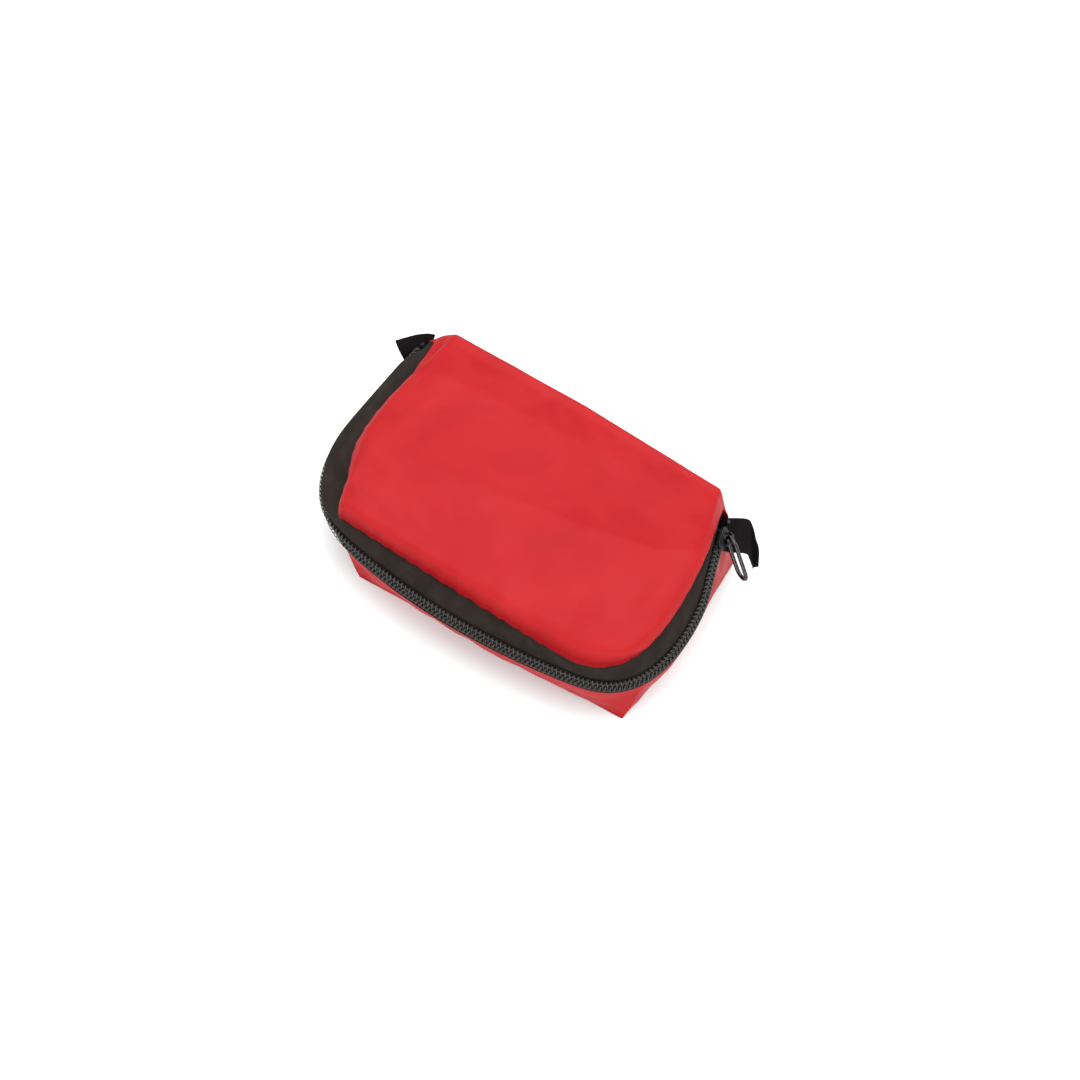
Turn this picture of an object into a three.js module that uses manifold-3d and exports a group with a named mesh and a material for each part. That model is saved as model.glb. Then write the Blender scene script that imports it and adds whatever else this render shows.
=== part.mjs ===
// Soft zip pouch with first aid supplies. Millimetres, +Z up.
// The pouch lies on its back. Its long side is X, the zip's front run faces -Y, and the fold that the
// lid opens on is at the rear, +Y. The origin is on the resting face.
import * as THREE from "three";
import { mergeVertices } from "three/addons/utils/BufferGeometryUtils.js";
import { RoundedBoxGeometry } from "three/addons/geometries/RoundedBoxGeometry.js";
import Module from "manifold-3d";

const wasm = await Module();
wasm.setup();

// ---------------------------------------------------------------- driving dimensions
const FABRIC = 0.8; // coated nylon with its lining
const GAP = 0.3; // clearance between neighbouring pieces
const JOIN = FABRIC + GAP; // how far a panel stops short of one that it meets at a corner

const BASE_LEFT = -51;
const BASE_RIGHT = 69;
const BASE_HALF_DEPTH = 41;
const REAR_Y = BASE_HALF_DEPTH;
const TOP_HEIGHT = 51; // height of the straight fold along the lid's rear edge
const TOP_HALF_LENGTH = 60;

const TAPE = 0.6; // zip tape thickness
const COIL_RADIUS = 0.85;
const COIL_OFFSET = 1.25; // from the zip's centre line to the middle of either coil
const TAPE_START = COIL_OFFSET + COIL_RADIUS + GAP;
const BINDING_RADIUS = 0.7;
const BINDING_INSET = 2.0;

const SLIDER_REST = 7.5; // from the zip's right rear end to the middle of the closed slider
const SLIDER_LENGTH = 8.5;
const SLIDER_HALF_WIDTH = 2.7;
const SLIDER_PLATE = 0.8;
const SLIDER_CHANNEL = 1.25; // half of the channel that the coils run in
const SLIDER_WEB = 0.15; // half the thickness of the post between the plates
const CROWN_LENGTH = 5.4;
const CROWN_WINDOW = 2.9;
const CROWN_BAR = 1.0;
const PULL_LENGTH = 18;
const PULL_WIDTH = 8.4;
const PULL_WIRE = 0.8; // radius
const PULL_BEHIND_BAR = 2.2; // from the crown's bar back to the middle of the wire
const PULL_YAW = THREE.MathUtils.degToRad(35); // how far the hanging pull leans towards the front

const FRONT_BELLY = 1.2; // how far a filled wall swells outwards
const SIDE_BELLY = 1.5;
const FOLD_DROP = 1; // the fold line passes this far below the zip's two ends
const LID_PUFF = 5; // how far the lid puffs up above its seam
const PUFF_REACH = 6; // distance in which most of that rise happens

const point = (x, y, z) => new THREE.Vector3(x, y, z);

// The zip runs round the pouch as a U, from its right rear end to its left rear end. A rail is a line that
// follows this U: straight sides, two rounded front corners, and a slightly bowed front.
const ZIP = {
  rearRight: point(63.5, 38, 33),
  sideRight: point(78, -8, 25.5),
  cornerRight: point(86, -38, 22),
  frontRight: point(48, -44, 22),
  frontMiddle: point(0, -47.5, 21.5),
  frontLeft: point(-48, -46, 22),
  cornerLeft: point(-80.5, -45, 22.5),
  sideLeft: point(-80, -6, 27),
  rearLeft: point(-72.5, 38.5, 40.5),
};
const LID_SEAM = {
  rearRight: point(62.5, 38, 40),
  sideRight: point(69, -10, 34),
  cornerRight: point(73, -35, 30.5),
  frontRight: point(50, -35.5, 30),
  frontMiddle: point(0, -38.5, 30),
  frontLeft: point(-54, -36, 30),
  cornerLeft: point(-67, -35.5, 31),
  sideLeft: point(-67, -18, 33),
  rearLeft: point(-65, 38, 46),
};
const SHELL_SEAM = {
  rearRight: point(64.5, 38, 27.5),
  sideRight: point(76.5, -8, 19.5),
  cornerRight: point(82.5, -39, 16),
  frontRight: point(48, -44.5, 16),
  frontMiddle: point(0, -46.5, 15.5),
  frontLeft: point(-48, -45, 16),
  cornerLeft: point(-77, -43.5, 16.5),
  sideLeft: point(-76, -6, 21),
  rearLeft: point(-70, 38.5, 34.5),
};
const SIDE_STEPS = 8;
const CORNER_STEPS = 8;
const FRONT_STEPS = 14;
const HALF_CORNER = CORNER_STEPS / 2;

// ---------------------------------------------------------------- rails and closed solids
function bowControl(a, middle, b) {
  return middle.clone().multiplyScalar(2).addScaledVector(a, -0.5).addScaledVector(b, -0.5);
}

function railPoints(rail) {
  const runs = [
    [new THREE.LineCurve3(rail.rearRight, rail.sideRight), SIDE_STEPS],
    [new THREE.QuadraticBezierCurve3(rail.sideRight, rail.cornerRight, rail.frontRight), CORNER_STEPS],
    [
      new THREE.QuadraticBezierCurve3(
        rail.frontRight,
        bowControl(rail.frontRight, rail.frontMiddle, rail.frontLeft),
        rail.frontLeft,
      ),
      FRONT_STEPS,
    ],
    [new THREE.QuadraticBezierCurve3(rail.frontLeft, rail.cornerLeft, rail.sideLeft), CORNER_STEPS],
    [new THREE.LineCurve3(rail.sideLeft, rail.rearLeft), SIDE_STEPS],
  ];
  const points = [rail.rearRight.clone()];
  for (const [curve, steps] of runs) points.push(...curve.getPoints(steps).slice(1));
  return points;
}

const zipLine = railPoints(ZIP);
const lidSeamLine = railPoints(LID_SEAM);
const shellSeamLine = railPoints(SHELL_SEAM);
const RIGHT_CORNER = SIDE_STEPS + HALF_CORNER;
const LEFT_CORNER = SIDE_STEPS + CORNER_STEPS + FRONT_STEPS + HALF_CORNER;

function along(line, i) {
  const before = line[Math.max(i - 1, 0)];
  const after = line[Math.min(i + 1, line.length - 1)];
  return after.clone().sub(before).normalize();
}

// Closed geometry from points and triangles, turned so that its faces point out.
function closedGeometry(points, triangles) {
  let volume = 0;
  const normal = point(0, 0, 0);
  for (const [a, b, c] of triangles) volume += normal.crossVectors(points[a], points[b]).dot(points[c]);
  const turned = volume < 0 ? triangles.map(([a, b, c]) => [a, c, b]) : triangles;
  const geometry = new THREE.BufferGeometry().setFromPoints(points);
  geometry.setIndex(turned.flat());
  geometry.computeVertexNormals();
  return geometry;
}

function normalAt(grid, i, j) {
  const rows = grid.length - 1;
  const columns = grid[0].length - 1;
  const du = grid[Math.min(i + 1, rows)][j].clone().sub(grid[Math.max(i - 1, 0)][j]);
  const dv = grid[i][Math.min(j + 1, columns)].clone().sub(grid[i][Math.max(j - 1, 0)]);
  return du.cross(dv).normalize();
}

// A thin panel: the grid is its outer face, and the inner face is offset by the thickness towards `inside`.
function panel(grid, thickness, inside) {
  const columns = grid[0].length;
  const count = grid.length * columns;
  const outer = grid.flat();
  const inner = [];
  grid.forEach((row, i) =>
    row.forEach((p, j) => {
      const normal = normalAt(grid, i, j);
      if (normal.dot(inside.clone().sub(p)) < 0) normal.negate();
      inner.push(p.clone().addScaledVector(normal, thickness));
    }),
  );
  const triangles = [];
  const quad = (a, b, c, d) => triangles.push([a, b, c], [a, c, d]);
  for (let i = 0; i + 1 < grid.length; i++)
    for (let j = 0; j + 1 < columns; j++) {
      const a = i * columns + j;
      quad(a, a + columns, a + columns + 1, a + 1);
      quad(count + a, count + a + 1, count + a + columns + 1, count + a + columns);
    }
  const rim = [];
  for (let j = 0; j + 1 < columns; j++) rim.push(j);
  for (let i = 0; i + 1 < grid.length; i++) rim.push(i * columns + columns - 1);
  for (let j = columns - 1; j > 0; j--) rim.push((grid.length - 1) * columns + j);
  for (let i = grid.length - 1; i > 0; i--) rim.push(i * columns);
  rim.forEach((a, k) => {
    const b = rim[(k + 1) % rim.length];
    quad(a, b, count + b, count + a);
  });
  return closedGeometry([...outer, ...inner], triangles);
}

// A solid through closed rings of points, with a flat cap at each end.
function loft(rings) {
  const size = rings[0].length;
  const triangles = [];
  for (let i = 0; i + 1 < rings.length; i++)
    for (let j = 0; j < size; j++) {
      const next = (j + 1) % size;
      const a = i * size + j;
      const b = i * size + next;
      triangles.push([a, b, b + size], [a, b + size, a + size]);
    }
  const last = (rings.length - 1) * size;
  for (let j = 1; j + 1 < size; j++) {
    triangles.push([0, j + 1, j]);
    triangles.push([last, last + j, last + j + 1]);
  }
  return closedGeometry(rings.flat(), triangles);
}

// Rows of a ruled surface from one line to another, stopping short of both by the given lengths.
function ruled(lineA, lineB, shortA, shortB, rows) {
  const grid = [];
  for (let k = 0; k <= rows; k++)
    grid.push(
      lineA.map((a, i) => {
        const span = a.distanceTo(lineB[i]);
        const t = (shortA + ((span - shortA - shortB) * k) / rows) / span;
        return a.clone().lerp(lineB[i], t);
      }),
    );
  return grid;
}

// Moves both ends of a line inwards along itself, so that its panel stays clear of its neighbours.
function trimmed(line, start, end) {
  const copy = line.map((p) => p.clone());
  const n = copy.length - 1;
  copy[0].addScaledVector(line[1].clone().sub(line[0]).normalize(), start);
  copy[n].addScaledVector(line[n - 1].clone().sub(line[n]).normalize(), end);
  return copy;
}

function straight(a, b, steps) {
  return new THREE.LineCurve3(a, b).getPoints(steps);
}

function toManifold(geometry) {
  const bare = geometry.clone();
  bare.deleteAttribute("normal");
  bare.deleteAttribute("uv");
  const merged = mergeVertices(bare, 1e-4);
  return new wasm.Manifold(
    new wasm.Mesh({
      numProp: 3,
      vertProperties: merged.attributes.position.array,
      triVerts: new Uint32Array(merged.index.array),
    }),
  );
}

function fromManifold(solid) {
  const mesh = solid.getMesh();
  const geometry = new THREE.BufferGeometry();
  geometry.setAttribute("position", new THREE.BufferAttribute(mesh.vertProperties, 3));
  geometry.setIndex(new THREE.BufferAttribute(mesh.triVerts, 1));
  geometry.computeVertexNormals();
  return geometry;
}

function joined(...geometries) {
  return fromManifold(geometries.map(toManifold).reduce((a, b) => a.add(b)));
}

// A round wire or cord along a curve.
function wire(curve, radius, steps, sides) {
  const section = new THREE.Shape().absarc(0, 0, radius, 0, Math.PI * 2, false);
  return new THREE.ExtrudeGeometry(section, { extrudePath: curve, steps, curveSegments: sides / 2 });
}

// ---------------------------------------------------------------- materials
const material = (color, roughness, metalness = 0) =>
  new THREE.MeshStandardMaterial({ color, roughness, metalness });
const redNylon = material(0xcf3437, 0.5);
const blackTape = material(0x25201f, 0.85);
const blackCoil = material(0x14100f, 0.45);
const blackWebbing = material(0x1d1818, 0.8);
const blackMetal = material(0x1c1a1b, 0.35, 0.8);
const darkSteel = material(0x3c3a3c, 0.25, 0.9);
const steel = material(0xb9bcc0, 0.28, 1);
const foil = material(0xc8ccd0, 0.22, 1);
const paper = material(0xf3f1ea, 0.75);
const sachetFilm = material(0xe9edf0, 0.4);
const wipeFilm = material(0xcfe3ee, 0.35);
const plasterPaper = material(0xefe6d6, 0.7);
const crepe = material(0xd9b58c, 0.95);
const gauze = material(0xf0eee8, 0.95);
const zincTape = material(0xf2f0ee, 0.8);
const card = material(0xb08a5c, 0.9);
const glovePlastic = material(0xa9c8e6, 0.3);

const kit = new THREE.Group();
function add(name, geometry, look, parent = kit) {
  const mesh = new THREE.Mesh(geometry, look);
  mesh.name = name;
  parent.add(mesh);
  return mesh;
}

// ---------------------------------------------------------------- lower shell
const INSIDE = point(0, 0, 18);
const BELOW = point(0, 0, -1000);
const FLOOR_CLEAR = JOIN + 0.5; // the walls lean out, so they start a little above the base panel
const WALL_ROWS = 4;

function basePanel() {
  const outline = new THREE.Shape();
  outline.moveTo(BASE_LEFT, -BASE_HALF_DEPTH);
  outline.lineTo(BASE_RIGHT, -BASE_HALF_DEPTH);
  outline.lineTo(BASE_RIGHT, BASE_HALF_DEPTH);
  outline.lineTo(BASE_LEFT, BASE_HALF_DEPTH);
  outline.closePath();
  return new THREE.ExtrudeGeometry(outline, { depth: FABRIC, bevelEnabled: false });
}

// A wall bellies out a little between its base edge and the zip seam.
function wall(baseLine, seamLine, belly) {
  const grid = ruled(baseLine, seamLine, FLOOR_CLEAR, GAP / 2, WALL_ROWS);
  grid.forEach((row, k) => {
    const swell = belly * Math.sin((Math.PI * k) / WALL_ROWS);
    row.forEach((p, j) => {
      const normal = normalAt(grid, k, j);
      if (normal.dot(INSIDE.clone().sub(p)) > 0) normal.negate();
      p.addScaledVector(normal, swell * Math.sin((Math.PI * j) / (row.length - 1)));
    });
  });
  return panel(grid, FABRIC, INSIDE);
}

function shell() {
  const frontRight = point(BASE_RIGHT, -BASE_HALF_DEPTH, 0);
  const frontLeft = point(BASE_LEFT, -BASE_HALF_DEPTH, 0);
  const rearRight = point(BASE_RIGHT, REAR_Y, 0);
  const rearLeft = point(BASE_LEFT, REAR_Y, 0);
  const rightSeam = trimmed(shellSeamLine.slice(0, RIGHT_CORNER + 1), 0, JOIN);
  const frontSeam = trimmed(shellSeamLine.slice(RIGHT_CORNER, LEFT_CORNER + 1), GAP, GAP);
  const leftSeam = trimmed(shellSeamLine.slice(LEFT_CORNER), JOIN, 0);
  const sideInset = point(0, JOIN, 0);
  const cornerInset = point(0, 2 * JOIN, 0);
  add("base_panel", basePanel(), redNylon);
  add(
    "front_wall",
    wall(straight(frontRight, frontLeft, LEFT_CORNER - RIGHT_CORNER), frontSeam, FRONT_BELLY),
    redNylon,
  );
  add(
    "right_wall",
    wall(
      straight(rearRight.clone().sub(cornerInset), frontRight.clone().add(sideInset), RIGHT_CORNER),
      rightSeam,
      SIDE_BELLY,
    ),
    redNylon,
  );
  add(
    "left_wall",
    wall(
      straight(frontLeft.clone().add(sideInset), rearLeft.clone().sub(cornerInset), RIGHT_CORNER),
      leftSeam,
      SIDE_BELLY,
    ),
    redNylon,
  );
}

// The lid folds on a line across the rear wall, just below both zip ends.
function foldPoint(x) {
  const t = (x - ZIP.rearLeft.x) / (ZIP.rearRight.x - ZIP.rearLeft.x);
  return point(x, REAR_Y, THREE.MathUtils.lerp(ZIP.rearLeft.z, ZIP.rearRight.z, t) - FOLD_DROP);
}

const REAR_STEPS = 12;
function rearWall() {
  const bottom = straight(point(BASE_RIGHT, REAR_Y, 0), point(BASE_LEFT, REAR_Y, 0), REAR_STEPS);
  const top = straight(foldPoint(SHELL_SEAM.rearRight.x), foldPoint(SHELL_SEAM.rearLeft.x), REAR_STEPS);
  return panel(ruled(bottom, top, FLOOR_CLEAR, GAP, WALL_ROWS), FABRIC, INSIDE);
}

function lidRearEdge(steps) {
  const right = point(LID_SEAM.rearRight.x, REAR_Y, LID_SEAM.rearRight.z);
  const left = point(LID_SEAM.rearLeft.x, REAR_Y, LID_SEAM.rearLeft.z);
  const foldLine = straight(
    point(TOP_HALF_LENGTH, REAR_Y, TOP_HEIGHT),
    point(-TOP_HALF_LENGTH, REAR_Y, TOP_HEIGHT),
    steps - 2,
  );
  return [right, ...foldLine, left];
}

function lidSpine() {
  const top = lidRearEdge(REAR_STEPS);
  const bottom = straight(foldPoint(LID_SEAM.rearRight.x), foldPoint(LID_SEAM.rearLeft.x), REAR_STEPS);
  return panel(ruled(bottom, top, GAP, GAP, 2), FABRIC, INSIDE);
}

// ---------------------------------------------------------------- lid
// The lid's height above the patch through its edges: it rises steeply from the seam, and levels out
// towards the straight rear fold.
function puff(u, v) {
  const length = 2 * LID_SEAM.sideRight.x;
  const depth = REAR_Y - LID_SEAM.frontMiddle.y;
  const rise = (distance) => 1 - Math.exp(-distance / PUFF_REACH);
  const rear = Math.sin(Math.min(2 * v, 1) * (Math.PI / 2));
  return LID_PUFF * rise(length * u) * rise(length * (1 - u)) * rise(depth * (1 - v)) * rear;
}

// A four-sided patch between the seam's two sides, its front and the rear fold, v running from rear to front.
function lidTop() {
  const right = lidSeamLine.slice(0, RIGHT_CORNER + 1);
  const front = lidSeamLine.slice(RIGHT_CORNER, LEFT_CORNER + 1);
  const left = lidSeamLine.slice(LEFT_CORNER).reverse();
  const rear = lidRearEdge(front.length - 1);
  rear.forEach((p) => (p.y -= JOIN + GAP));
  right[0].copy(rear[0]);
  left[0].copy(rear[rear.length - 1]);
  const rows = right.length - 1;
  const columns = front.length - 1;
  const grid = [];
  for (let i = 0; i <= rows; i++) {
    const v = i / rows;
    const row = [];
    for (let j = 0; j <= columns; j++) {
      const u = j / columns;
      const p = right[i].clone().multiplyScalar(1 - u).addScaledVector(left[i], u);
      p.addScaledVector(rear[j], 1 - v).addScaledVector(front[j], v);
      p.addScaledVector(rear[0], -(1 - u) * (1 - v)).addScaledVector(rear[columns], -u * (1 - v));
      p.addScaledVector(front[0], -(1 - u) * v).addScaledVector(front[columns], -u * v);
      p.z += puff(u, v);
      row.push(p);
    }
    grid.push(row);
  }
  return panel(grid, FABRIC, BELOW);
}

// ---------------------------------------------------------------- zip
// Across the zip, from the lid's side to the shell's, square to its run. On the straight right side it is
// the same all the way, so that the slider runs true.
const TRAVEL = ZIP.sideRight.clone().sub(ZIP.rearRight).normalize();
function squared(direction, run) {
  return direction.clone().addScaledVector(run, -direction.dot(run)).normalize();
}
const rightMiddle = Math.round(SIDE_STEPS / 2);
const RIGHT_ACROSS = squared(zipLine[rightMiddle].clone().sub(lidSeamLine[rightMiddle]), TRAVEL);
function acrossAt(i) {
  if (i <= SIDE_STEPS) return RIGHT_ACROSS;
  const local = squared(zipLine[i].clone().sub(lidSeamLine[i]), along(zipLine, i));
  const blend = Math.min((i - SIDE_STEPS) / HALF_CORNER, 1);
  return RIGHT_ACROSS.clone().lerp(local, blend).normalize();
}

// One row of coils, on the lid's side (-1) or the shell's side (1), with its ends left short.
function coil(side, skipStart, skipEnd) {
  const line = zipLine.map((p, i) => p.clone().addScaledVector(acrossAt(i), side * COIL_OFFSET));
  const cut = trimmed(line, 0, skipEnd);
  cut[0].addScaledVector(TRAVEL, skipStart);
  const ahead = (p) => p.clone().sub(cut[0]).dot(TRAVEL) > COIL_RADIUS;
  const route = cut.filter((p, i) => i === 0 || i > SIDE_STEPS || ahead(p));
  return wire(new THREE.CatmullRomCurve3(route, false, "centripetal"), COIL_RADIUS, 52, 8);
}

// Beside the closed slider the tape's edge is held back, so that the slider's plates have room.
function tape(side, seamLine, seamShort, heldBack, back) {
  const besideSlider = 3;
  const edge = zipLine.map((p, i) => {
    const clear = i < besideSlider ? heldBack : 0;
    return p.clone().addScaledVector(acrossAt(i), side * (TAPE_START + clear));
  });
  return panel(ruled(edge, seamLine, 0, seamShort, 2), TAPE, back);
}

// A round binding sewn along a seam, inside the pouch.
function binding(seamLine, lift) {
  const line = seamLine.map((p, i) => {
    const run = along(seamLine, i);
    const inward = point(-run.y, run.x, 0).normalize();
    if (inward.dot(p.clone().setZ(0)) > 0) inward.negate();
    const moved = p.clone().addScaledVector(inward, BINDING_INSET);
    moved.z += lift;
    return moved;
  });
  const cut = trimmed(line, 2 * JOIN, 2 * JOIN);
  return wire(new THREE.CatmullRomCurve3(cut, false, "centripetal"), BINDING_RADIUS, 44, 6);
}

const SLIDER_CLEAR = SLIDER_REST + SLIDER_LENGTH / 2 + GAP;
const zipFrame = new THREE.Matrix4().makeBasis(
  TRAVEL,
  RIGHT_ACROSS,
  TRAVEL.clone().cross(RIGHT_ACROSS),
);

// ---------------------------------------------------------------- slider and pull
function sliderPlate() {
  const nose = SLIDER_LENGTH / 2;
  const outline = new THREE.Shape();
  outline.moveTo(-nose, -SLIDER_HALF_WIDTH * 0.75);
  outline.lineTo(nose - 2.5, -SLIDER_HALF_WIDTH);
  outline.quadraticCurveTo(nose, -SLIDER_HALF_WIDTH, nose, 0);
  outline.quadraticCurveTo(nose, SLIDER_HALF_WIDTH, nose - 2.5, SLIDER_HALF_WIDTH);
  outline.lineTo(-nose, SLIDER_HALF_WIDTH * 0.75);
  outline.closePath();
  return new THREE.ExtrudeGeometry(outline, { depth: SLIDER_PLATE, bevelEnabled: false, curveSegments: 5 });
}

// The arch that holds the pull, standing on the outer plate along the zip's run.
function sliderCrown() {
  const half = CROWN_LENGTH / 2;
  const rise = CROWN_WINDOW + CROWN_BAR;
  const outline = new THREE.Shape();
  outline.moveTo(-half, -0.4);
  outline.lineTo(half, -0.4);
  outline.lineTo(half, rise - 1);
  outline.quadraticCurveTo(half, rise, half - 1, rise);
  outline.lineTo(-half + 1, rise);
  outline.quadraticCurveTo(-half, rise, -half, rise - 1);
  outline.closePath();
  const window = new THREE.Path();
  window.moveTo(-half + 0.8, 0);
  window.lineTo(-half + 0.8, CROWN_WINDOW);
  window.lineTo(half - 0.8, CROWN_WINDOW);
  window.lineTo(half - 0.8, 0);
  window.closePath();
  outline.holes.push(window);
  const width = 1.2;
  const crown = new THREE.ExtrudeGeometry(outline, { depth: width, bevelEnabled: false, curveSegments: 4 });
  crown.rotateX(Math.PI / 2);
  crown.translate(0, width / 2, SLIDER_CHANNEL + SLIDER_PLATE);
  return crown;
}

function sliderBody() {
  const outer = sliderPlate().translate(0, 0, SLIDER_CHANNEL);
  const inner = sliderPlate().translate(0, 0, -SLIDER_CHANNEL - SLIDER_PLATE);
  const post = new THREE.BoxGeometry(2, 2 * SLIDER_WEB, 2 * SLIDER_CHANNEL + SLIDER_PLATE);
  post.translate(-SLIDER_LENGTH / 2 + 1.6, 0, 0);
  return joined(outer, inner, post, sliderCrown());
}

// An oval wire ring through the crown. It hangs over the slider's outer edge, leaning towards the front.
// Its lower leg lies in the crown's window and its near end loops round behind the bar.
function pullRing() {
  const radius = PULL_WIDTH / 2 - PULL_WIRE;
  const straightHalf = PULL_LENGTH / 2 - PULL_WIRE - radius;
  const near = -PULL_BEHIND_BAR;
  const legHeight = SLIDER_CHANNEL + SLIDER_PLATE + PULL_WIRE + GAP;
  const points = [];
  const arcSteps = 8;
  for (const end of [-1, 1])
    for (let k = 0; k <= arcSteps; k++) {
      const angle = Math.PI * (k / arcSteps - 0.5);
      const y = end * (straightHalf + radius * Math.cos(angle));
      points.push(point(0, y, end * radius * Math.sin(angle)));
    }
  const tilt = new THREE.Matrix4().makeRotationZ(-PULL_YAW);
  const shift = point(0, near + straightHalf + radius, legHeight + radius);
  const placed = points.map((p) => p.add(shift).applyMatrix4(tilt));
  return wire(new THREE.CatmullRomCurve3(placed, true, "centripetal"), PULL_WIRE, 40, 8);
}

function zip() {
  add("zip_coil_lid", coil(-1, SLIDER_CLEAR, 3), blackCoil);
  add("zip_coil_shell", coil(1, 1.5, 3), blackCoil);
  add("zip_tape_lid", tape(-1, lidSeamLine, JOIN, 1.2, INSIDE), blackTape);
  add("zip_tape_shell", tape(1, shellSeamLine, GAP, 0.3, BELOW), blackTape);
  add("seam_binding_lid", binding(lidSeamLine, -1.2), blackTape);
  add("seam_binding_shell", binding(shellSeamLine, 0.5), blackTape);

  const place = zipFrame.clone().setPosition(ZIP.rearRight.clone().addScaledVector(TRAVEL, SLIDER_REST));
  const slider = new THREE.Group();
  slider.applyMatrix4(place);
  kit.add(slider);
  add("slider_body", sliderBody(), blackMetal, slider);
  add("pull_ring", pullRing(), darkSteel, slider);

  const topStop = new THREE.Group();
  topStop.applyMatrix4(zipFrame.clone().setPosition(ZIP.rearRight.clone().addScaledVector(TRAVEL, 1.2)));
  kit.add(topStop);
  const stop = new RoundedBoxGeometry(1.6, 1.8, 2.2, 1, 0.3);
  add("zip_top_stop", stop.translate(-1.2, 1, 0.4), blackMetal, topStop);
  const end = ZIP.rearLeft.clone().addScaledVector(along(zipLine, zipLine.length - 1), -1.4);
  const bottomStop = new RoundedBoxGeometry(4.4, 2.0, 2.2, 1, 0.3);
  const stopMesh = add("zip_bottom_stop", bottomStop, blackMetal);
  stopMesh.position.copy(end);
  stopMesh.rotation.y = THREE.MathUtils.degToRad(50);
}

// ---------------------------------------------------------------- tabs
// A flat strip: `path` is its middle line and `widthwise` the direction across it.
function strip(path, widthwise, width, thickness) {
  const curve = new THREE.CatmullRomCurve3(path);
  const middle = curve.getPoints(12);
  const rings = middle.map((p, i) => {
    const run = along(middle, i);
    const side = squared(widthwise, run);
    const up = run.clone().cross(side);
    const corner = (a, b) =>
      p.clone().addScaledVector(side, (a * width) / 2).addScaledVector(up, (b * thickness) / 2);
    return [corner(-1, -1), corner(1, -1), corner(1, 1), corner(-1, 1)];
  });
  return loft(rings);
}

const TAB_WIDTH = 12.7;
const TAB_THICKNESS = 1.0;
function tabs() {
  const right = [
    point(68.6, 37.4, 28.5),
    point(72, 38.8, 29.2),
    point(76, 39.5, 27),
    point(78.5, 39, 22),
    point(79, 37.5, 15.5),
  ];
  const acrossRight = point(0.25, -0.93, -0.25);
  add("tab_right", strip(right, acrossRight, TAB_WIDTH, TAB_THICKNESS), blackWebbing);
  const left = [point(-74.8, 36, 36), point(-78, 35.4, 37), point(-82, 34.2, 37), point(-86, 32.4, 35.2)];
  const leftRun = ZIP.sideLeft.clone().sub(ZIP.rearLeft).normalize();
  add("tab_left", strip(left, leftRun, TAB_WIDTH, TAB_THICKNESS), blackWebbing);
}

// ---------------------------------------------------------------- supplies
// A flat packet between two corners.
function packet(name, low, high, look, softness) {
  const size = high.map((value, k) => value - low[k]);
  const radius = Math.min(softness, Math.min(...size) / 2 - 0.05);
  const geometry = new RoundedBoxGeometry(...size, 1, radius);
  const mesh = add(name, geometry, look);
  mesh.position.set(...high.map((value, k) => (value + low[k]) / 2));
}

const PACK_FLOOR = 1.3;
const SHEET_TOP = 9.7; // top of the blanket, with its clearance
const STACK_TOP = 14.5;

function stack(name, count, low, high, pitch, look) {
  for (let k = 0; k < count; k++) {
    const lift = k * pitch;
    packet(
      `${name}_${k + 1}`,
      [low[0], low[1], low[2] + lift],
      [high[0], high[1], high[2] + lift],
      look,
      0.5,
    );
  }
}

function packets() {
  packet("foil_blanket_pack", [-44, -33, PACK_FLOOR], [50, 33, SHEET_TOP - 0.4], foil, 3);
  packet("gloves_pack", [53, -28, PACK_FLOOR], [64.5, 27, 23], glovePlastic, 3);
  stack("gauze_sachet", 2, [-44, -34, SHEET_TOP], [2, 12, SHEET_TOP + 2], 2.4, sachetFilm);
  stack("wipe_sachet", 3, [4.5, -34, SHEET_TOP], [50, 12, SHEET_TOP + 1.2], 1.6, wipeFilm);
  stack("plaster", 4, [-42, -34, STACK_TOP], [30, -15, STACK_TOP + 0.8], 1.2, plasterPaper);
  packet("leaflet", [-38, 38.9, PACK_FLOOR], [48, 39.8, 31], paper, 0.2);
  packet("triangular_bandage_pack", [-44, 12.5, 34.4], [48, 37.5, 40.4], sachetFilm, 2);
}

// A closed ring or a full roll, with its axis along X.
function roll(outerRadius, innerRadius, length, segments = 28) {
  const half = length / 2;
  const profile = [
    new THREE.Vector2(innerRadius, -half),
    new THREE.Vector2(outerRadius, -half),
    new THREE.Vector2(outerRadius, half),
    new THREE.Vector2(innerRadius, half),
  ];
  if (innerRadius > 0) profile.push(profile[0].clone());
  const geometry = new THREE.LatheGeometry(profile, segments);
  geometry.rotateZ(-Math.PI / 2);
  return geometry;
}

function rolls() {
  const crepeRadius = 11.7;
  const crepeY = 26.6;
  add("crepe_bandage", roll(crepeRadius, 0, 49), crepe).position.set(
    -21.5,
    crepeY,
    SHEET_TOP + crepeRadius + GAP,
  );
  const conformRadius = 11;
  add("conforming_bandage", roll(conformRadius, 0, 43), gauze).position.set(
    27.5,
    crepeY,
    SHEET_TOP + conformRadius + GAP,
  );
  for (let k = 0; k < 2; k++) {
    const x = -38 + 22 * k;
    const clip = [x, crepeY - crepeRadius - 0.9, 20];
    packet(`bandage_clip_${k + 1}`, clip, [x + 16, crepeY - crepeRadius - 0.4, 24.5], steel, 0.1);
  }
  const tapeX = 44.5;
  const tapeY = 2.2;
  const tapeZ = STACK_TOP + 10.3;
  add("tape_core", roll(6.8, 5.8, 13, 24), card).position.set(tapeX, tapeY, tapeZ);
  add("tape_roll", roll(10, 7.1, 12.4, 24), zincTape).position.set(tapeX, tapeY, tapeZ);
}

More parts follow.
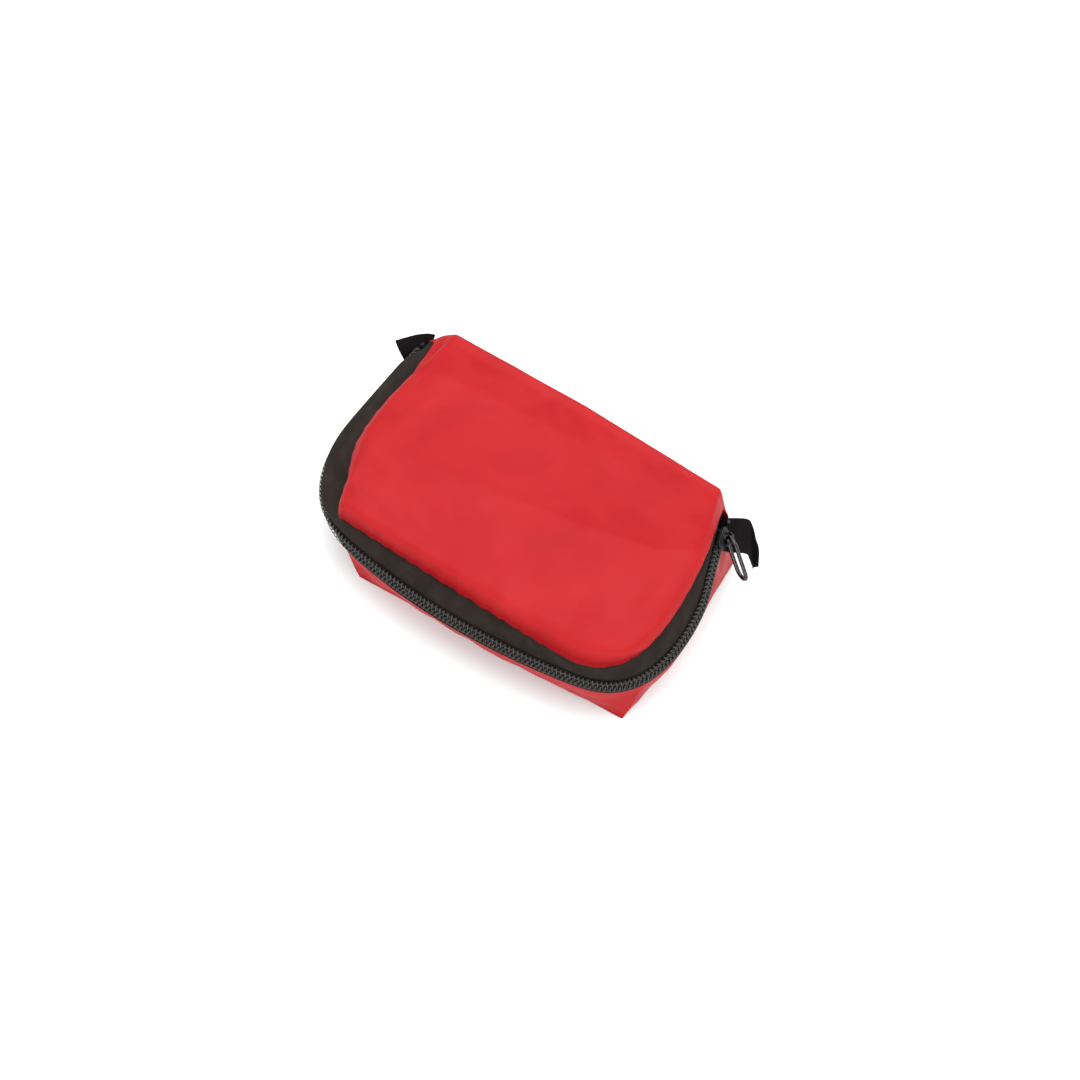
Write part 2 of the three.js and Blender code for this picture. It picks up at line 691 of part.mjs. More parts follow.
// Two sprung arms in a V, joined at the back and bent to meet at the tips.
function tweezers() {
  const outline = new THREE.Shape();
  outline.moveTo(-42, -12.2);
  outline.lineTo(-34, -12.2);
  outline.quadraticCurveTo(0, -13.6, 26, -9.6);
  outline.lineTo(26, -9.2);
  outline.quadraticCurveTo(0, -12.4, -33, -11.0);
  outline.lineTo(-33, -7.0);
  outline.quadraticCurveTo(0, -5.6, 26, -8.8);
  outline.lineTo(26, -8.4);
  outline.quadraticCurveTo(0, -4.4, -34, -5.8);
  outline.lineTo(-42, -5.8);
  outline.closePath();
  const arms = new THREE.ExtrudeGeometry(outline, { depth: 3, bevelEnabled: false, curveSegments: 6 });
  return arms.translate(0, 0, STACK_TOP);
}

const PIN_LENGTH = 27;
function safetyPinWire() {
  const back = [
    point(PIN_LENGTH - 3.5, 2.4, 0),
    point(PIN_LENGTH / 2, 2.4, 0),
    point(3, 2.2, 0),
    point(0.8, 0.3, 0),
    point(3, -1.9, 0),
    point(PIN_LENGTH / 2, -2.4, 0),
    point(PIN_LENGTH - 4.5, -1.6, 0),
  ];
  return wire(new THREE.CatmullRomCurve3(back, false, "centripetal"), 0.45, 18, 6);
}

function safetyPins() {
  const cap = () => new RoundedBoxGeometry(5, 6.4, 2, 1, 0.8).translate(PIN_LENGTH - 0.4, 0.2, 0);
  const places = [point(-43, 4, 15.6), point(-12, 4, 15.6), point(-43, 4, 18.1)];
  places.forEach((place, k) => {
    add(`safety_pin_${k + 1}`, safetyPinWire(), steel).position.copy(place);
    add(`safety_pin_cap_${k + 1}`, cap(), steel).position.copy(place);
  });
}

// One half of the scissors: a blade, a shank across the pivot and a finger loop. `side` is the loop's side,
// and the blade beyond the pivot lies on the other side.
const SCISSORS_X = 2;
const SCISSORS_Y = -13;
const SCISSORS_LEVEL = 19.8;
const BLADE = 1.3;
const RIVET_HOLE = 1.6;
function scissorsHalf(side) {
  const blade = new THREE.Shape();
  blade.moveTo(-31, side * -0.3);
  blade.lineTo(-4, side * -2.8);
  blade.lineTo(3, side * -2.4);
  blade.lineTo(13, side * 3.2);
  blade.lineTo(11, side * 6);
  blade.lineTo(-3, side * 2.4);
  blade.lineTo(-28, side * 0.8);
  blade.closePath();
  blade.holes.push(new THREE.Path().absarc(0, 0, RIVET_HOLE, 0, Math.PI * 2, false));
  const flat = { depth: BLADE, bevelEnabled: false, curveSegments: 10 };
  const loop = new THREE.Shape().absellipse(20.5, side * 8.2, 11, 7.6, 0, Math.PI * 2, false);
  loop.holes.push(new THREE.Path().absellipse(20.5, side * 8.2, 8, 4.8, 0, Math.PI * 2, false));
  return joined(new THREE.ExtrudeGeometry(blade, flat), new THREE.ExtrudeGeometry(loop, flat));
}

function scissors() {
  const upper = SCISSORS_LEVEL + BLADE + GAP;
  add("scissors_blade_fixed", scissorsHalf(-1), steel).position.set(SCISSORS_X, SCISSORS_Y, SCISSORS_LEVEL);
  add("scissors_blade_moving", scissorsHalf(1), steel).position.set(SCISSORS_X, SCISSORS_Y, upper);
  const head = 2.6;
  const shank = RIVET_HOLE - GAP;
  const top = 2 * BLADE + 2 * GAP;
  const rivetProfile = [
    new THREE.Vector2(0, -GAP - 0.4),
    new THREE.Vector2(head, -GAP - 0.4),
    new THREE.Vector2(head, -GAP),
    new THREE.Vector2(shank, -GAP),
    new THREE.Vector2(shank, top),
    new THREE.Vector2(head, top),
    new THREE.Vector2(head, top + 0.4),
    new THREE.Vector2(0, top + 0.7),
  ];
  const rivet = new THREE.LatheGeometry(rivetProfile, 16).rotateX(Math.PI / 2);
  add("scissors_rivet", rivet, steel).position.set(SCISSORS_X, SCISSORS_Y, SCISSORS_LEVEL);
}

// ---------------------------------------------------------------- assembly
shell();
add("rear_wall", rearWall(), redNylon);
add("lid_top_panel", lidTop(), redNylon);
add("lid_spine_panel", lidSpine(), redNylon);
zip();
tabs();
packets();
rolls();
add("tweezers", tweezers(), steel);
safetyPins();
scissors();

export default kit;
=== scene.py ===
import math

import bmesh
import bpy
import numpy as np
from mathutils import Matrix, Vector, noise


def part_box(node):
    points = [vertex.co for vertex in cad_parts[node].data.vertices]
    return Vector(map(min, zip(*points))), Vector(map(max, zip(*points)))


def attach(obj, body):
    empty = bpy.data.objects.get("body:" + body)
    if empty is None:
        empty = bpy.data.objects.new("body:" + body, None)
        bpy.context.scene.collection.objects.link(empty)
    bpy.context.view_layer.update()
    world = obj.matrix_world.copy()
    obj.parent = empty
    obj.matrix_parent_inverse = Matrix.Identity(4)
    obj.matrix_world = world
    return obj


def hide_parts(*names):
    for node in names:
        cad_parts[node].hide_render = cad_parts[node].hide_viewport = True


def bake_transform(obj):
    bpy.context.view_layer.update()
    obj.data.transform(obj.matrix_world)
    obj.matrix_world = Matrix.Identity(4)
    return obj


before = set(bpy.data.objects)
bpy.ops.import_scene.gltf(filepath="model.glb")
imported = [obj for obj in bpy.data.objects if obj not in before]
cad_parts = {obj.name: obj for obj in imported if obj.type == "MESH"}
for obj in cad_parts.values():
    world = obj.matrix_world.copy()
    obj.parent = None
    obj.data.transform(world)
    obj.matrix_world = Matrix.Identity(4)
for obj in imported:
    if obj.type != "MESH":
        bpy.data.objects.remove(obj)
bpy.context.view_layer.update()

# Soft first aid pouch with its supplies. Lengths in this file are millimetres in the frame of the packed
# part, and turn into metres where a mesh is made.
MM = 0.001
TAU = 2 * math.pi


# ---------------------------------------------------------------- small helpers
def vec(*values):
    return np.array(values, float)


def unit(v):
    return v / np.maximum(np.linalg.norm(v, axis=-1, keepdims=True), 1e-9)


def smooth(t):
    t = np.clip(t, 0, 1)
    return t * t * (3 - 2 * t)


def soft_min(a, b, radius):
    h = np.clip(0.5 + 0.5 * (b - a) / radius, 0, 1)
    return b * (1 - h) + a * h - radius * h * (1 - h)


def noise_at(points, scale, seed=0.0):
    """Smooth noise from -1 to 1 at an array of points, with features about `scale` mm wide."""
    flat = np.asarray(points, float).reshape(-1, 3) / scale + seed
    values = np.array([noise.noise(Vector(p)) for p in flat])
    return values.reshape(np.asarray(points).shape[:-1])


def box_mm(node):
    """The low and high corners, centre and half size of a CAD node's box."""
    lo, hi = (np.array(corner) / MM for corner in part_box(node))
    return lo, hi, (lo + hi) / 2, (hi - lo) / 2


def distance_along(path):
    return np.r_[0, np.linalg.norm(np.diff(path, axis=0), axis=1).cumsum()]


def tangents(path, closed=False):
    return unit(np.roll(path, -1, 0) - np.roll(path, 1, 0) if closed else np.gradient(path, axis=0))


def mesh_object(name, points, faces, uvs=None):
    mesh = bpy.data.meshes.new(name)
    mesh.from_pydata((np.asarray(points) * MM).tolist(), [], faces)
    if uvs is not None:
        layer = mesh.uv_layers.new(name="UVMap")
        order = np.zeros(len(mesh.loops), int)
        mesh.loops.foreach_get("vertex_index", order)
        layer.data.foreach_set("uv", np.asarray(uvs, np.float32)[order].ravel())
    mesh.polygons.foreach_set("use_smooth", [True] * len(mesh.polygons))
    mesh.update()
    obj = bpy.data.objects.new(name, mesh)
    bpy.context.scene.collection.objects.link(obj)
    return obj


def grid_faces(rows, columns, closed=False, looped=False):
    """Quads of a grid. `closed` joins the last column to the first, and `looped` the last row."""
    faces = []
    for i in range(rows if looped else rows - 1):
        row, following = i * columns, (i + 1) % rows * columns
        for j in range(columns if closed else columns - 1):
            k = (j + 1) % columns
            faces.append((row + j, row + k, following + k, following + j))
    return faces


def end_caps(rows, columns):
    last = (rows - 1) * columns
    return [tuple(range(columns))[::-1], tuple(range(last, last + columns))]


def grid_object(name, grid):
    """A sheet through a grid of points. Its UVs are centimetres along the cloth."""
    rows, columns = grid.shape[:2]
    across = np.linalg.norm(np.diff(grid, axis=1), axis=2).mean(0).cumsum()
    down = np.linalg.norm(np.diff(grid, axis=0), axis=2).mean(1).cumsum()
    u, v = np.meshgrid(np.r_[0, across], np.r_[0, down])
    uvs = np.stack([u, v], -1).reshape(-1, 2) / 10
    return mesh_object(name, grid.reshape(-1, 3), grid_faces(rows, columns), uvs)


def cross_directions(path, closed):
    """Two steady cross directions along a path."""
    tangent = tangents(path, closed)
    start = vec(0, 0, 1) if abs(tangent[0][2]) < 0.9 else vec(1, 0, 0)
    side = np.zeros_like(path)
    current = unit(np.cross(tangent[0], start))
    for i, t in enumerate(tangent):
        current = unit(current - t * (current @ t))
        side[i] = current
    return side, np.cross(tangent, side)


def tube(name, path, radius, sides, closed=False, flat=1.0, cross=None):
    """A round or flattened wire along a path. UVs run round it and along it, in centimetres."""
    path = np.asarray(path, float)
    side, up = cross or cross_directions(path, closed)
    angle = np.arange(sides) * TAU / sides
    radius = np.broadcast_to(radius, len(path))[:, None, None]
    cosine, sine = (wave(angle)[None, :, None] for wave in (np.cos, np.sin))
    ring = side[:, None] * cosine + flat * up[:, None] * sine
    points = (path[:, None] + radius * ring).reshape(-1, 3)
    faces = grid_faces(len(path), sides, True, closed)
    if not closed:
        faces += end_caps(len(path), sides)
    uvs = [(j / sides, s / 10) for s in distance_along(path) for j in range(sides)]
    return mesh_object(name, points, faces, uvs)


def catmull(points, per_span):
    """A smooth line through the points."""
    p = np.asarray(points, float)
    out = []
    for i in range(len(p) - 1):
        ids = np.clip([i - 1, i, i + 1, i + 2], 0, len(p) - 1)
        a, b, c, d = p[ids]
        slope, curve, twist = c - a, 2 * a - 5 * b + 4 * c - d, 3 * b - a - 3 * c + d
        for t in np.arange(per_span) / per_span:
            out.append(0.5 * (2 * b + slope * t + curve * t**2 + twist * t**3))
    return np.array(out + [p[-1]])


def outwards(obj):
    """Turns every face of a closed mesh outwards."""
    turned = bmesh.new()
    turned.from_mesh(obj.data)
    bmesh.ops.recalc_face_normals(turned, faces=turned.faces)
    turned.to_mesh(obj.data)
    turned.free()


def plate(name, outline, low, high, bevel, place=None):
    """A flat outline extruded from low to high, with softened edges. `place` maps it to the frame."""
    points = np.array([(x, y, z) for z in (low, high) for x, y in outline], float)
    faces = end_caps(2, len(outline)) + grid_faces(2, len(outline), True)
    obj = mesh_object(name, place(points) if place else points, faces)
    outwards(obj)
    edge = obj.modifiers.new("soft_edges", "BEVEL")
    edge.width = bevel * MM
    edge.segments = 3
    edge.limit_method = "ANGLE"
    edge.angle_limit = math.radians(35)
    edge.harden_normals = False
    return obj


def solid(obj, thickness, offset=-1.0, outer_slot=0):
    shell = obj.modifiers.new("thickness", "SOLIDIFY")
    shell.thickness = thickness * MM
    shell.offset = offset
    shell.material_offset = outer_slot


def subdivide(obj):
    finer = obj.modifiers.new("smooth", "SUBSURF")
    finer.levels = finer.render_levels = 1


def merged(name, parts):
    """One piece from several objects, with their modifiers applied."""
    bpy.context.view_layer.update()
    graph = bpy.context.evaluated_depsgraph_get()
    whole = bmesh.new()
    for part in parts:
        baked = bpy.data.meshes.new_from_object(part.evaluated_get(graph))
        whole.from_mesh(baked)
        bpy.data.meshes.remove(baked)
    mesh = bpy.data.meshes.new(name)
    whole.to_mesh(mesh)
    whole.free()
    mesh.materials.clear()
    mesh.polygons.foreach_set("material_index", [0] * len(mesh.polygons))
    mesh.polygons.foreach_set("use_smooth", [True] * len(mesh.polygons))
    for part in parts:
        bpy.data.objects.remove(part)
    obj = bpy.data.objects.new(name, mesh)
    bpy.context.scene.collection.objects.link(obj)
    return obj


def piece(obj, look, body=None, replaced=()):
    """Gives a piece its materials and body, and hides the CAD nodes it stands for."""
    for material in look if isinstance(look, tuple) else (look,):
        obj.data.materials.append(material)
    if body:
        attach(obj, body)
    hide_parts(*replaced)
    return obj


# ---------------------------------------------------------------- cloth
SIM_SCALE = 10  # the cloth is simulated ten times life size, where the solver is steadier


def settle(obj, hold, frames, pressure, slack, bending, passes=4):
    """Runs a short cloth simulation and keeps its last frame, a little smoothed.

    `hold` is how firmly each point of the sheet's grid stays put.
    """
    scene = bpy.context.scene
    obj.data.transform(Matrix.Scale(SIM_SCALE, 4))
    group = obj.vertex_groups.new(name="hold")
    for index, weight in enumerate(hold.ravel()):
        group.add([index], float(weight), "REPLACE")
    cloth = obj.modifiers.new("cloth", "CLOTH")
    settings = cloth.settings
    settings.quality = 6
    settings.mass = 0.2
    settings.tension_stiffness = settings.compression_stiffness = 20
    settings.shear_stiffness = 8
    settings.bending_stiffness = bending
    settings.vertex_group_mass = "hold"
    settings.pin_stiffness = 3
    settings.shrink_min = -slack
    settings.use_pressure = True
    settings.uniform_pressure_force = pressure
    settings.effector_weights.gravity = 0.1
    cloth.collision_settings.use_collision = False
    cloth.point_cache.frame_start = scene.frame_start = 1
    cloth.point_cache.frame_end = scene.frame_end = frames
    for number in range(1, frames + 1):
        scene.frame_set(number)
    baked = obj.evaluated_get(bpy.context.evaluated_depsgraph_get()).to_mesh()
    before, final = np.zeros((2, len(baked.vertices) * 3), np.float32)
    baked.vertices.foreach_get("co", final)
    obj.modifiers.remove(cloth)
    obj.vertex_groups.remove(group)
    obj.data.vertices.foreach_get("co", before)
    moved = ((final - before) / SIM_SCALE).reshape(*hold.shape, 3)
    for _ in range(passes):
        for axis in (0, 1):
            moved = (np.roll(moved, 1, axis) + 2 * moved + np.roll(moved, -1, axis)) / 4
    moved *= np.where(hold >= 1, 0, 1)[..., None]
    obj.data.vertices.foreach_set("co", before / SIM_SCALE + moved.astype(np.float32).ravel())
    obj.data.update()
    scene.frame_set(1)


# ---------------------------------------------------------------- materials
def add_node(tree, kind, inputs, output=0, **settings):
    """A shader node with its inputs set or linked. Returns one of its outputs."""
    node = tree.nodes.new(kind)
    for key, value in settings.items():
        setattr(node, key, value)
    for key, value in inputs.items():
        feed(tree, node.inputs[key], value)
    return node.outputs[output]


def feed(tree, socket, value):
    if isinstance(value, bpy.types.NodeSocket):
        tree.links.new(value, socket)
    else:
        socket.default_value = value


class Look:
    """A procedural material, built up from a few kinds of texture."""

    def __init__(self, name, color, roughness, metallic=0.0, uv=False, **sockets):
        self.material = bpy.data.materials.new(name)
        self.material.use_nodes = True
        self.tree = self.material.node_tree
        self.tint = (*color, 1.0)
        self.bumps = None
        self.set(Base_Color=self.tint, Roughness=roughness, Metallic=metallic, **sockets)
        self.place = self.add("ShaderNodeTexCoord", {}, "UV" if uv else "Object")

    def add(self, *node, **settings):
        return add_node(self.tree, *node, **settings)

    def set(self, **sockets):
        for name, value in sockets.items():
            feed(self.tree, self.tree.nodes["Principled BSDF"].inputs[name.replace("_", " ")], value)

    def math(self, operation, *values):
        return self.add("ShaderNodeMath", dict(enumerate(values)), operation=operation)

    def noise(self, scale, detail=3.0, stretch=None, distortion=0.0):
        place = self.place
        if stretch:
            place = self.add("ShaderNodeMapping", {"Scale": stretch, "Vector": place}, "Vector")
        inputs = {"Scale": scale, "Detail": detail, "Distortion": distortion, "Vector": place}
        return self.add("ShaderNodeTexNoise", inputs, "Fac")

    def creases(self, scale):
        """Distance from the borders between irregular cells."""
        inputs = {"Scale": scale, "Vector": self.place}
        return self.add("ShaderNodeTexVoronoi", inputs, "Distance", feature="DISTANCE_TO_EDGE")

    def axis(self, index):
        return self.add("ShaderNodeSeparateXYZ", {0: self.place}, index)

    def wave(self, along, per_unit):
        return self.math("SINE", self.math("MULTIPLY", along, TAU * per_unit))

    def ribs(self, index, per_unit):
        """A sine wave along one axis of the coordinates, from -1 to 1."""
        return self.wave(self.axis(index), per_unit)

    def weave(self, per_unit):
        return self.math("MULTIPLY", self.ribs(0, per_unit), self.ribs(1, per_unit))

    def twill(self, per_unit):
        return self.wave(self.math("ADD", self.axis(0), self.axis(1)), per_unit)

    def spread(self, value, low, high):
        """The value's range from low to high, stretched to 0 to 1."""
        return self.add("ShaderNodeMapRange", {"From Min": low, "From Max": high, "Value": value}, "Result")

    def bump(self, height, depth):
        """Raises the surface by up to `depth` mm."""
        inputs = {"Strength": 1.0, "Distance": depth * MM, "Height": height}
        if self.bumps is not None:
            inputs["Normal"] = self.bumps
        self.bumps = self.add("ShaderNodeBump", inputs, "Normal")
        self.set(Normal=self.bumps)

    def stain(self, share, color):
        """Mixes another colour in where `share` is high."""
        inputs = {"Factor": share, 6: self.tint, 7: (*color, 1.0)}
        self.tint = self.add("ShaderNodeMix", inputs, 2, data_type="RGBA")
        self.set(Base_Color=self.tint)

    def patches(self, scale, detail, low, high, color, distortion=0.0):
        """Stains where noise of this scale is high."""
        self.stain(self.spread(self.noise(scale, detail, distortion=distortion), low, high), color)

    def rough(self, value, low, high):
        inputs = {"To Min": low, "To Max": high, "Value": value}
        self.set(Roughness=self.add("ShaderNodeMapRange", inputs, "Result"))


def darker(color, share):
    return tuple(share * c for c in color)


def red_nylon(name, color, dark, pale, seam=None):
    """Coated nylon. `seam` is the colour of painted shade in the valley beside the front seam, at the UV's
    low end, where the specular is also turned down.
    """
    shine = 0.14
    look = Look(name, color, 0.5, uv=True, Sheen_Weight=0.03, Sheen_Roughness=0.3)
    look.set(Sheen_Tint=(1.0, 0.4, 0.4, 1.0), Specular_IOR_Level=shine)
    look.patches(0.42, 2.0, 0.42, 0.66, dark, 0.5)
    look.patches(0.3, 2.0, 0.5, 0.78, pale, 0.8)
    if seam:
        # painted shade: towards the UV's low end the colour darkens and the specular drops, standing in for
        # the shadow in the valley by the front seam
        painted_valley_shade = look.math("MULTIPLY", look.spread(look.axis(1), 0.75, 0.3), 0.8)
        look.stain(painted_valley_shade, seam)
        look.set(Specular_IOR_Level=look.math("MULTIPLY", look.math("SUBTRACT", 1.0, painted_valley_shade), shine))
    look.rough(look.noise(1.1, 3.0), 0.42, 0.58)
    look.bump(look.noise(0.8, 2.0, distortion=0.6), 0.25)
    look.bump(look.noise(6.0, 3.0), 0.025)
    look.bump(look.weave(31), 0.006)
    return look.material


def woven_tape(name, color, pale):
    look = Look(name, color, 0.82, uv=True, Sheen_Weight=0.02, Specular_IOR_Level=0.13)
    look.patches(1.2, 4.0, 0.4, 0.75, pale)
    look.stain(look.spread(look.twill(16), 0.0, 4.0), pale)
    look.bump(look.twill(16), 0.025)
    look.bump(look.weave(22), 0.015)
    look.bump(look.noise(2.5, 3.0), 0.1)
    look.rough(look.noise(3.0, 2.0), 0.7, 0.92)
    return look.material


def ribbed_ribbon():
    look = Look("ribbon", (0.0062, 0.0036, 0.004), 0.85, uv=True, Sheen_Weight=0.01, Specular_IOR_Level=0.07)
    look.patches(1.5, 4.0, 0.45, 0.8, (0.009, 0.006, 0.007))
    look.bump(look.ribs(1, 13), 0.09)
    look.bump(look.weave(20), 0.03)
    return look.material


def plastic_coil():
    look = Look("coil", (0.015, 0.0105, 0.0085), 0.34, uv=True, Specular_IOR_Level=0.6)
    look.patches(3.0, 4.0, 0.4, 0.8, (0.028, 0.031, 0.026))
    look.rough(look.noise(8.0, 3.0), 0.26, 0.46)
    look.bump(look.noise(14.0, 3.0), 0.03)
    return look.material


def black_thread():
    look = Look("black_thread", (0.012, 0.011, 0.010), 0.7, uv=True, Sheen_Weight=0.3)
    look.bump(look.ribs(1, 30), 0.04)
    look.patches(9.0, 2.0, 0.4, 0.7, (0.0216, 0.0198, 0.018))
    return look.material


def metal(name, color, roughness, worn, metallic=1.0, brushed=None):
    """Metal with fine scratches, and patches worn towards another colour."""
    look = Look(name, color, roughness, metallic, Specular_IOR_Level=0.5)
    look.patches(900, 4.0, 0.58, 0.72, worn, 0.4)
    look.rough(look.noise(1400, 4.0, brushed), roughness * 0.7, roughness * 1.5)
    look.bump(look.noise(2500, 3.0, brushed), 0.012)
    look.bump(look.noise(500, 3.0), 0.02)
    return look.material


def silver_foil():
    color = (0.62, 0.63, 0.65)
    look = Look("silver_foil", color, 0.2, 1.0)
    look.bump(look.creases(220), 0.9)
    look.bump(look.noise(500, 5.0, distortion=1.5), 0.36)
    look.rough(look.noise(300, 4.0), 0.14, 0.34)
    look.patches(120, 3.0, 0.4, 0.8, darker(color, 0.8))
    return look.material


def paper(name, color, roughness=0.7, fibre=0.03):
    look = Look(name, color, roughness)
    look.patches(160, 5.0, 0.4, 0.8, darker(color, 0.86))
    look.patches(2600, 3.0, 0.55, 0.8, darker(color, 0.78))
    look.bump(look.noise(3200, 4.0), fibre)
    look.bump(look.noise(130, 4.0, distortion=0.6), 0.25)
    look.rough(look.noise(400, 3.0), roughness * 0.85, min(1.0, roughness * 1.15))
    return look.material


def printed(name, color, band, edges, roughness, axis=0, **sockets):
    """Packet film with a plain coloured band across it, between the two edges, in UV."""
    look = Look(name, color, roughness, uv=True, **sockets)
    above = look.math("GREATER_THAN", look.axis(axis), edges[0])
    below = look.math("LESS_THAN", look.axis(axis), edges[1])
    look.stain(look.math("MULTIPLY", above, below), band)
    look.patches(4.0, 4.0, 0.5, 0.9, darker(color, 0.8))
    look.bump(look.noise(160.0, 4.0), 0.02)
    look.bump(look.noise(5.0, 4.0, distortion=0.8), 0.3)
    look.rough(look.noise(12.0, 3.0), roughness * 0.8, min(1.0, roughness * 1.2))
    return look.material


def open_weave(name, color, per_cm, depth, crimp):
    """Bandage cloth with visible threads both ways, crimped crosswise."""
    look = Look(name, color, 0.92, uv=True, Sheen_Weight=0.35, Sheen_Roughness=0.6)
    look.stain(look.spread(look.weave(per_cm), -0.2, 2.0), darker(color, 0.6))
    look.patches(2.0, 4.0, 0.45, 0.85, darker(color, 0.85))
    look.bump(look.weave(per_cm), depth)
    look.bump(look.ribs(1, crimp), depth * 1.5)
    look.bump(look.noise(25.0, 3.0), depth)
    return look.material


RED_SHADES = ((0.355, 0.008, 0.0105), (0.325, 0.0062, 0.0086), (0.385, 0.0115, 0.0145))
RED = red_nylon("red_nylon", *RED_SHADES)
# the lid's copy carries painted shade in the valley along its front seam
RED_LID = red_nylon("red_nylon_lid", *RED_SHADES, seam=(0.21, 0.002, 0.0035))
LINING = red_nylon("red_lining", (0.25, 0.006, 0.009), (0.21, 0.005, 0.007), (0.29, 0.009, 0.012))
TAPE_CLOTH = woven_tape("tape_cloth", (0.0125, 0.008, 0.0062), (0.024, 0.016, 0.013))
BINDING_CLOTH = woven_tape("binding_cloth", (0.016, 0.015, 0.015), (0.035, 0.033, 0.033))
RIBBON = ribbed_ribbon()
COIL = plastic_coil()
BLACK_THREAD = black_thread()
LACQUER = metal("black_lacquer", (0.012, 0.011, 0.012), 0.32, (0.06, 0.055, 0.055), metallic=0.55)
NICKEL = metal("black_nickel", (0.055, 0.05, 0.052), 0.2, (0.14, 0.13, 0.13))
STEEL = metal("steel", (0.56, 0.56, 0.57), 0.26, (0.42, 0.42, 0.43), brushed=(0.15, 3.0, 1.0))
FOIL = silver_foil()
WIPE_FOIL = printed("wipe_foil", (0.38, 0.50, 0.56), (0.04, 0.16, 0.32), (2.9, 3.9), 0.32, metallic=0.5)
SACHET = printed("sachet_paper", (0.56, 0.57, 0.56), (0.03, 0.17, 0.36), (0.9, 1.5), 0.6)
BANDAGE_PACK = printed("bandage_pack", (0.57, 0.58, 0.57), (0.035, 0.25, 0.13), (6.6, 7.8), 0.4)
PLASTER_PAPER = printed("plaster_paper", (0.54, 0.50, 0.42), (0.44, 0.06, 0.05), (0.25, 0.5), 0.65)
PAPER = paper("leaflet_paper", (0.57, 0.56, 0.53))
CREPE = open_weave("crepe_cloth", (0.48, 0.32, 0.19), 9, 0.12, 5)
GAUZE = open_weave("gauze_cloth", (0.58, 0.57, 0.54), 8, 0.1, 3)
ZINC_TAPE = paper("zinc_tape", (0.58, 0.565, 0.55), 0.75, 0.06)
CARD = paper("card", (0.33, 0.21, 0.12), 0.85, 0.08)
GLOVE_BAG = printed("glove_bag", (0.26, 0.4, 0.56), (0.5, 0.56, 0.6), (0.0, 0.45), 0.22, 1, Coat_Weight=0.6)

# ---------------------------------------------------------------- rails of the zip and its two seams
DENSITY = 6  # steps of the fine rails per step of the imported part's rails
SIDE, CORNER, FRONT = 8 * DENSITY, 8 * DENSITY, 14 * DENSITY
RIGHT_CORNER = SIDE + CORNER // 2
LEFT_CORNER = SIDE + CORNER + FRONT + CORNER // 2

LEVEL = vec(1, 1, 0)  # keeps the level share of a direction
HALF_DEPTH = 41.0
BASE_CORNERS = (vec(69.6, 41, 0), vec(67.8, -39.3, 0), vec(-49.8, -42.9, 0), vec(-51, 41, 0))
BASE_BOW = 1.6  # how far the base's right edge bows out
TOP_HEIGHT, TOP_HALF = 51.0, 60.0
TOP_LEFT = vec(-59.0, 43.2, 52.2)  # corners of the straight fold along the top of the back
TOP_MIDDLE = vec(0, 43.0, 51.8)
TOP_RIGHT = vec(60.0, 40.0, 51.0)

ZIP_POINTS = (
    vec(64.5, 38, 33), vec(75.2, 4.1, 27.5), vec(80, -37.7, 22), vec(52.1, -43.5, 22), vec(0, -47.7, 21.5),
    vec(-48, -43.7, 22), vec(-82, -39.9, 22.5), vec(-80.5, -4.9, 27), vec(-72.2, 39.5, 40.5),
)
LID_POINTS = (
    vec(62.5, 38, 40), vec(65.8, 23.4, 36.5), vec(76.8, -42.6, 30.5), vec(41.2, -40.9, 30), vec(0, -39.8, 30),
    vec(-58, -37.2, 30), vec(-60, -41.6, 31), vec(-68.5, -10.5, 33), vec(-65.9, 38, 46),
)
LID_BELLY = 2.8  # how far the left seam bows out
SHELL_POINTS = (
    vec(65, 38, 27.5), vec(75, 3, 21), vec(78, -38.5, 16), vec(51.5, -43.2, 16), vec(0, -46.8, 15.5),
    vec(-47, -43.4, 16), vec(-78, -39.5, 16.5), vec(-76.5, -5, 21), vec(-69.7, 39, 34.5),
)
ZIP_ACROSS_AT_SLIDER = vec(0.492, 0.289, -0.821)


def straight(a, b, steps):
    return a + (b - a) * np.linspace(0, 1, steps + 1)[:, None]


def bent(a, control, b, steps):
    t = np.linspace(0, 1, steps + 1)[:, None]
    return (1 - t) ** 2 * a + 2 * (1 - t) * t * control + t**2 * b


def rail(points):
    """A U from the right rear end round the front to the left rear end."""
    rear_r, side_r, corner_r, front_r, middle, front_l, corner_l, side_l, rear_l = points
    runs = [
        straight(rear_r, side_r, SIDE),
        bent(side_r, corner_r, front_r, CORNER),
        bent(front_r, 2 * middle - (front_r + front_l) / 2, front_l, FRONT),
        bent(front_l, corner_l, side_l, CORNER),
        straight(side_l, rear_l, SIDE),
    ]
    return np.concatenate([runs[0]] + [run[1:] for run in runs[1:]])


def softened(line, reach):
    """The line with its kinks rounded over `reach` mm. Its ends stay where they are."""
    step = np.linalg.norm(np.diff(line, axis=0), axis=1).mean()
    half = max(1, int(2.5 * reach / step))
    kernel = np.exp(-0.5 * (np.arange(-half, half + 1) * step / reach) ** 2)
    kernel /= kernel.sum()
    padded = np.vstack([2 * line[0] - line[half:0:-1], line, 2 * line[-1] - line[-2 : -half - 2 : -1]])
    return np.stack([np.convolve(padded[:, k], kernel, "valid") for k in range(3)], -1)


def eased(start, length):
    """Rises from 0 to 1 along the zip, from step `start` over `length` steps."""
    return smooth((steps - start) / length)


zip_line = softened(rail(ZIP_POINTS), 5.0)
shell_line = softened(rail(SHELL_POINTS), 5.0)
COUNT = len(zip_line)
steps = np.arange(COUNT)
CORNER_START = SIDE + CORNER + FRONT
LEFT_SIDE = CORNER_START + CORNER

lid_line = softened(rail(LID_POINTS), 1.5)
bow_start, bow_end = LEFT_SIDE - CORNER // 4, COUNT - 16
bow = np.sin(math.pi * np.clip((steps - bow_start) / (bow_end - bow_start), 0, 1))
lid_line[:, 0] -= LID_BELLY * bow


def squared(direction, run):
    """The direction made square to the run."""
    return unit(direction - run * np.sum(direction * run, axis=-1, keepdims=True))


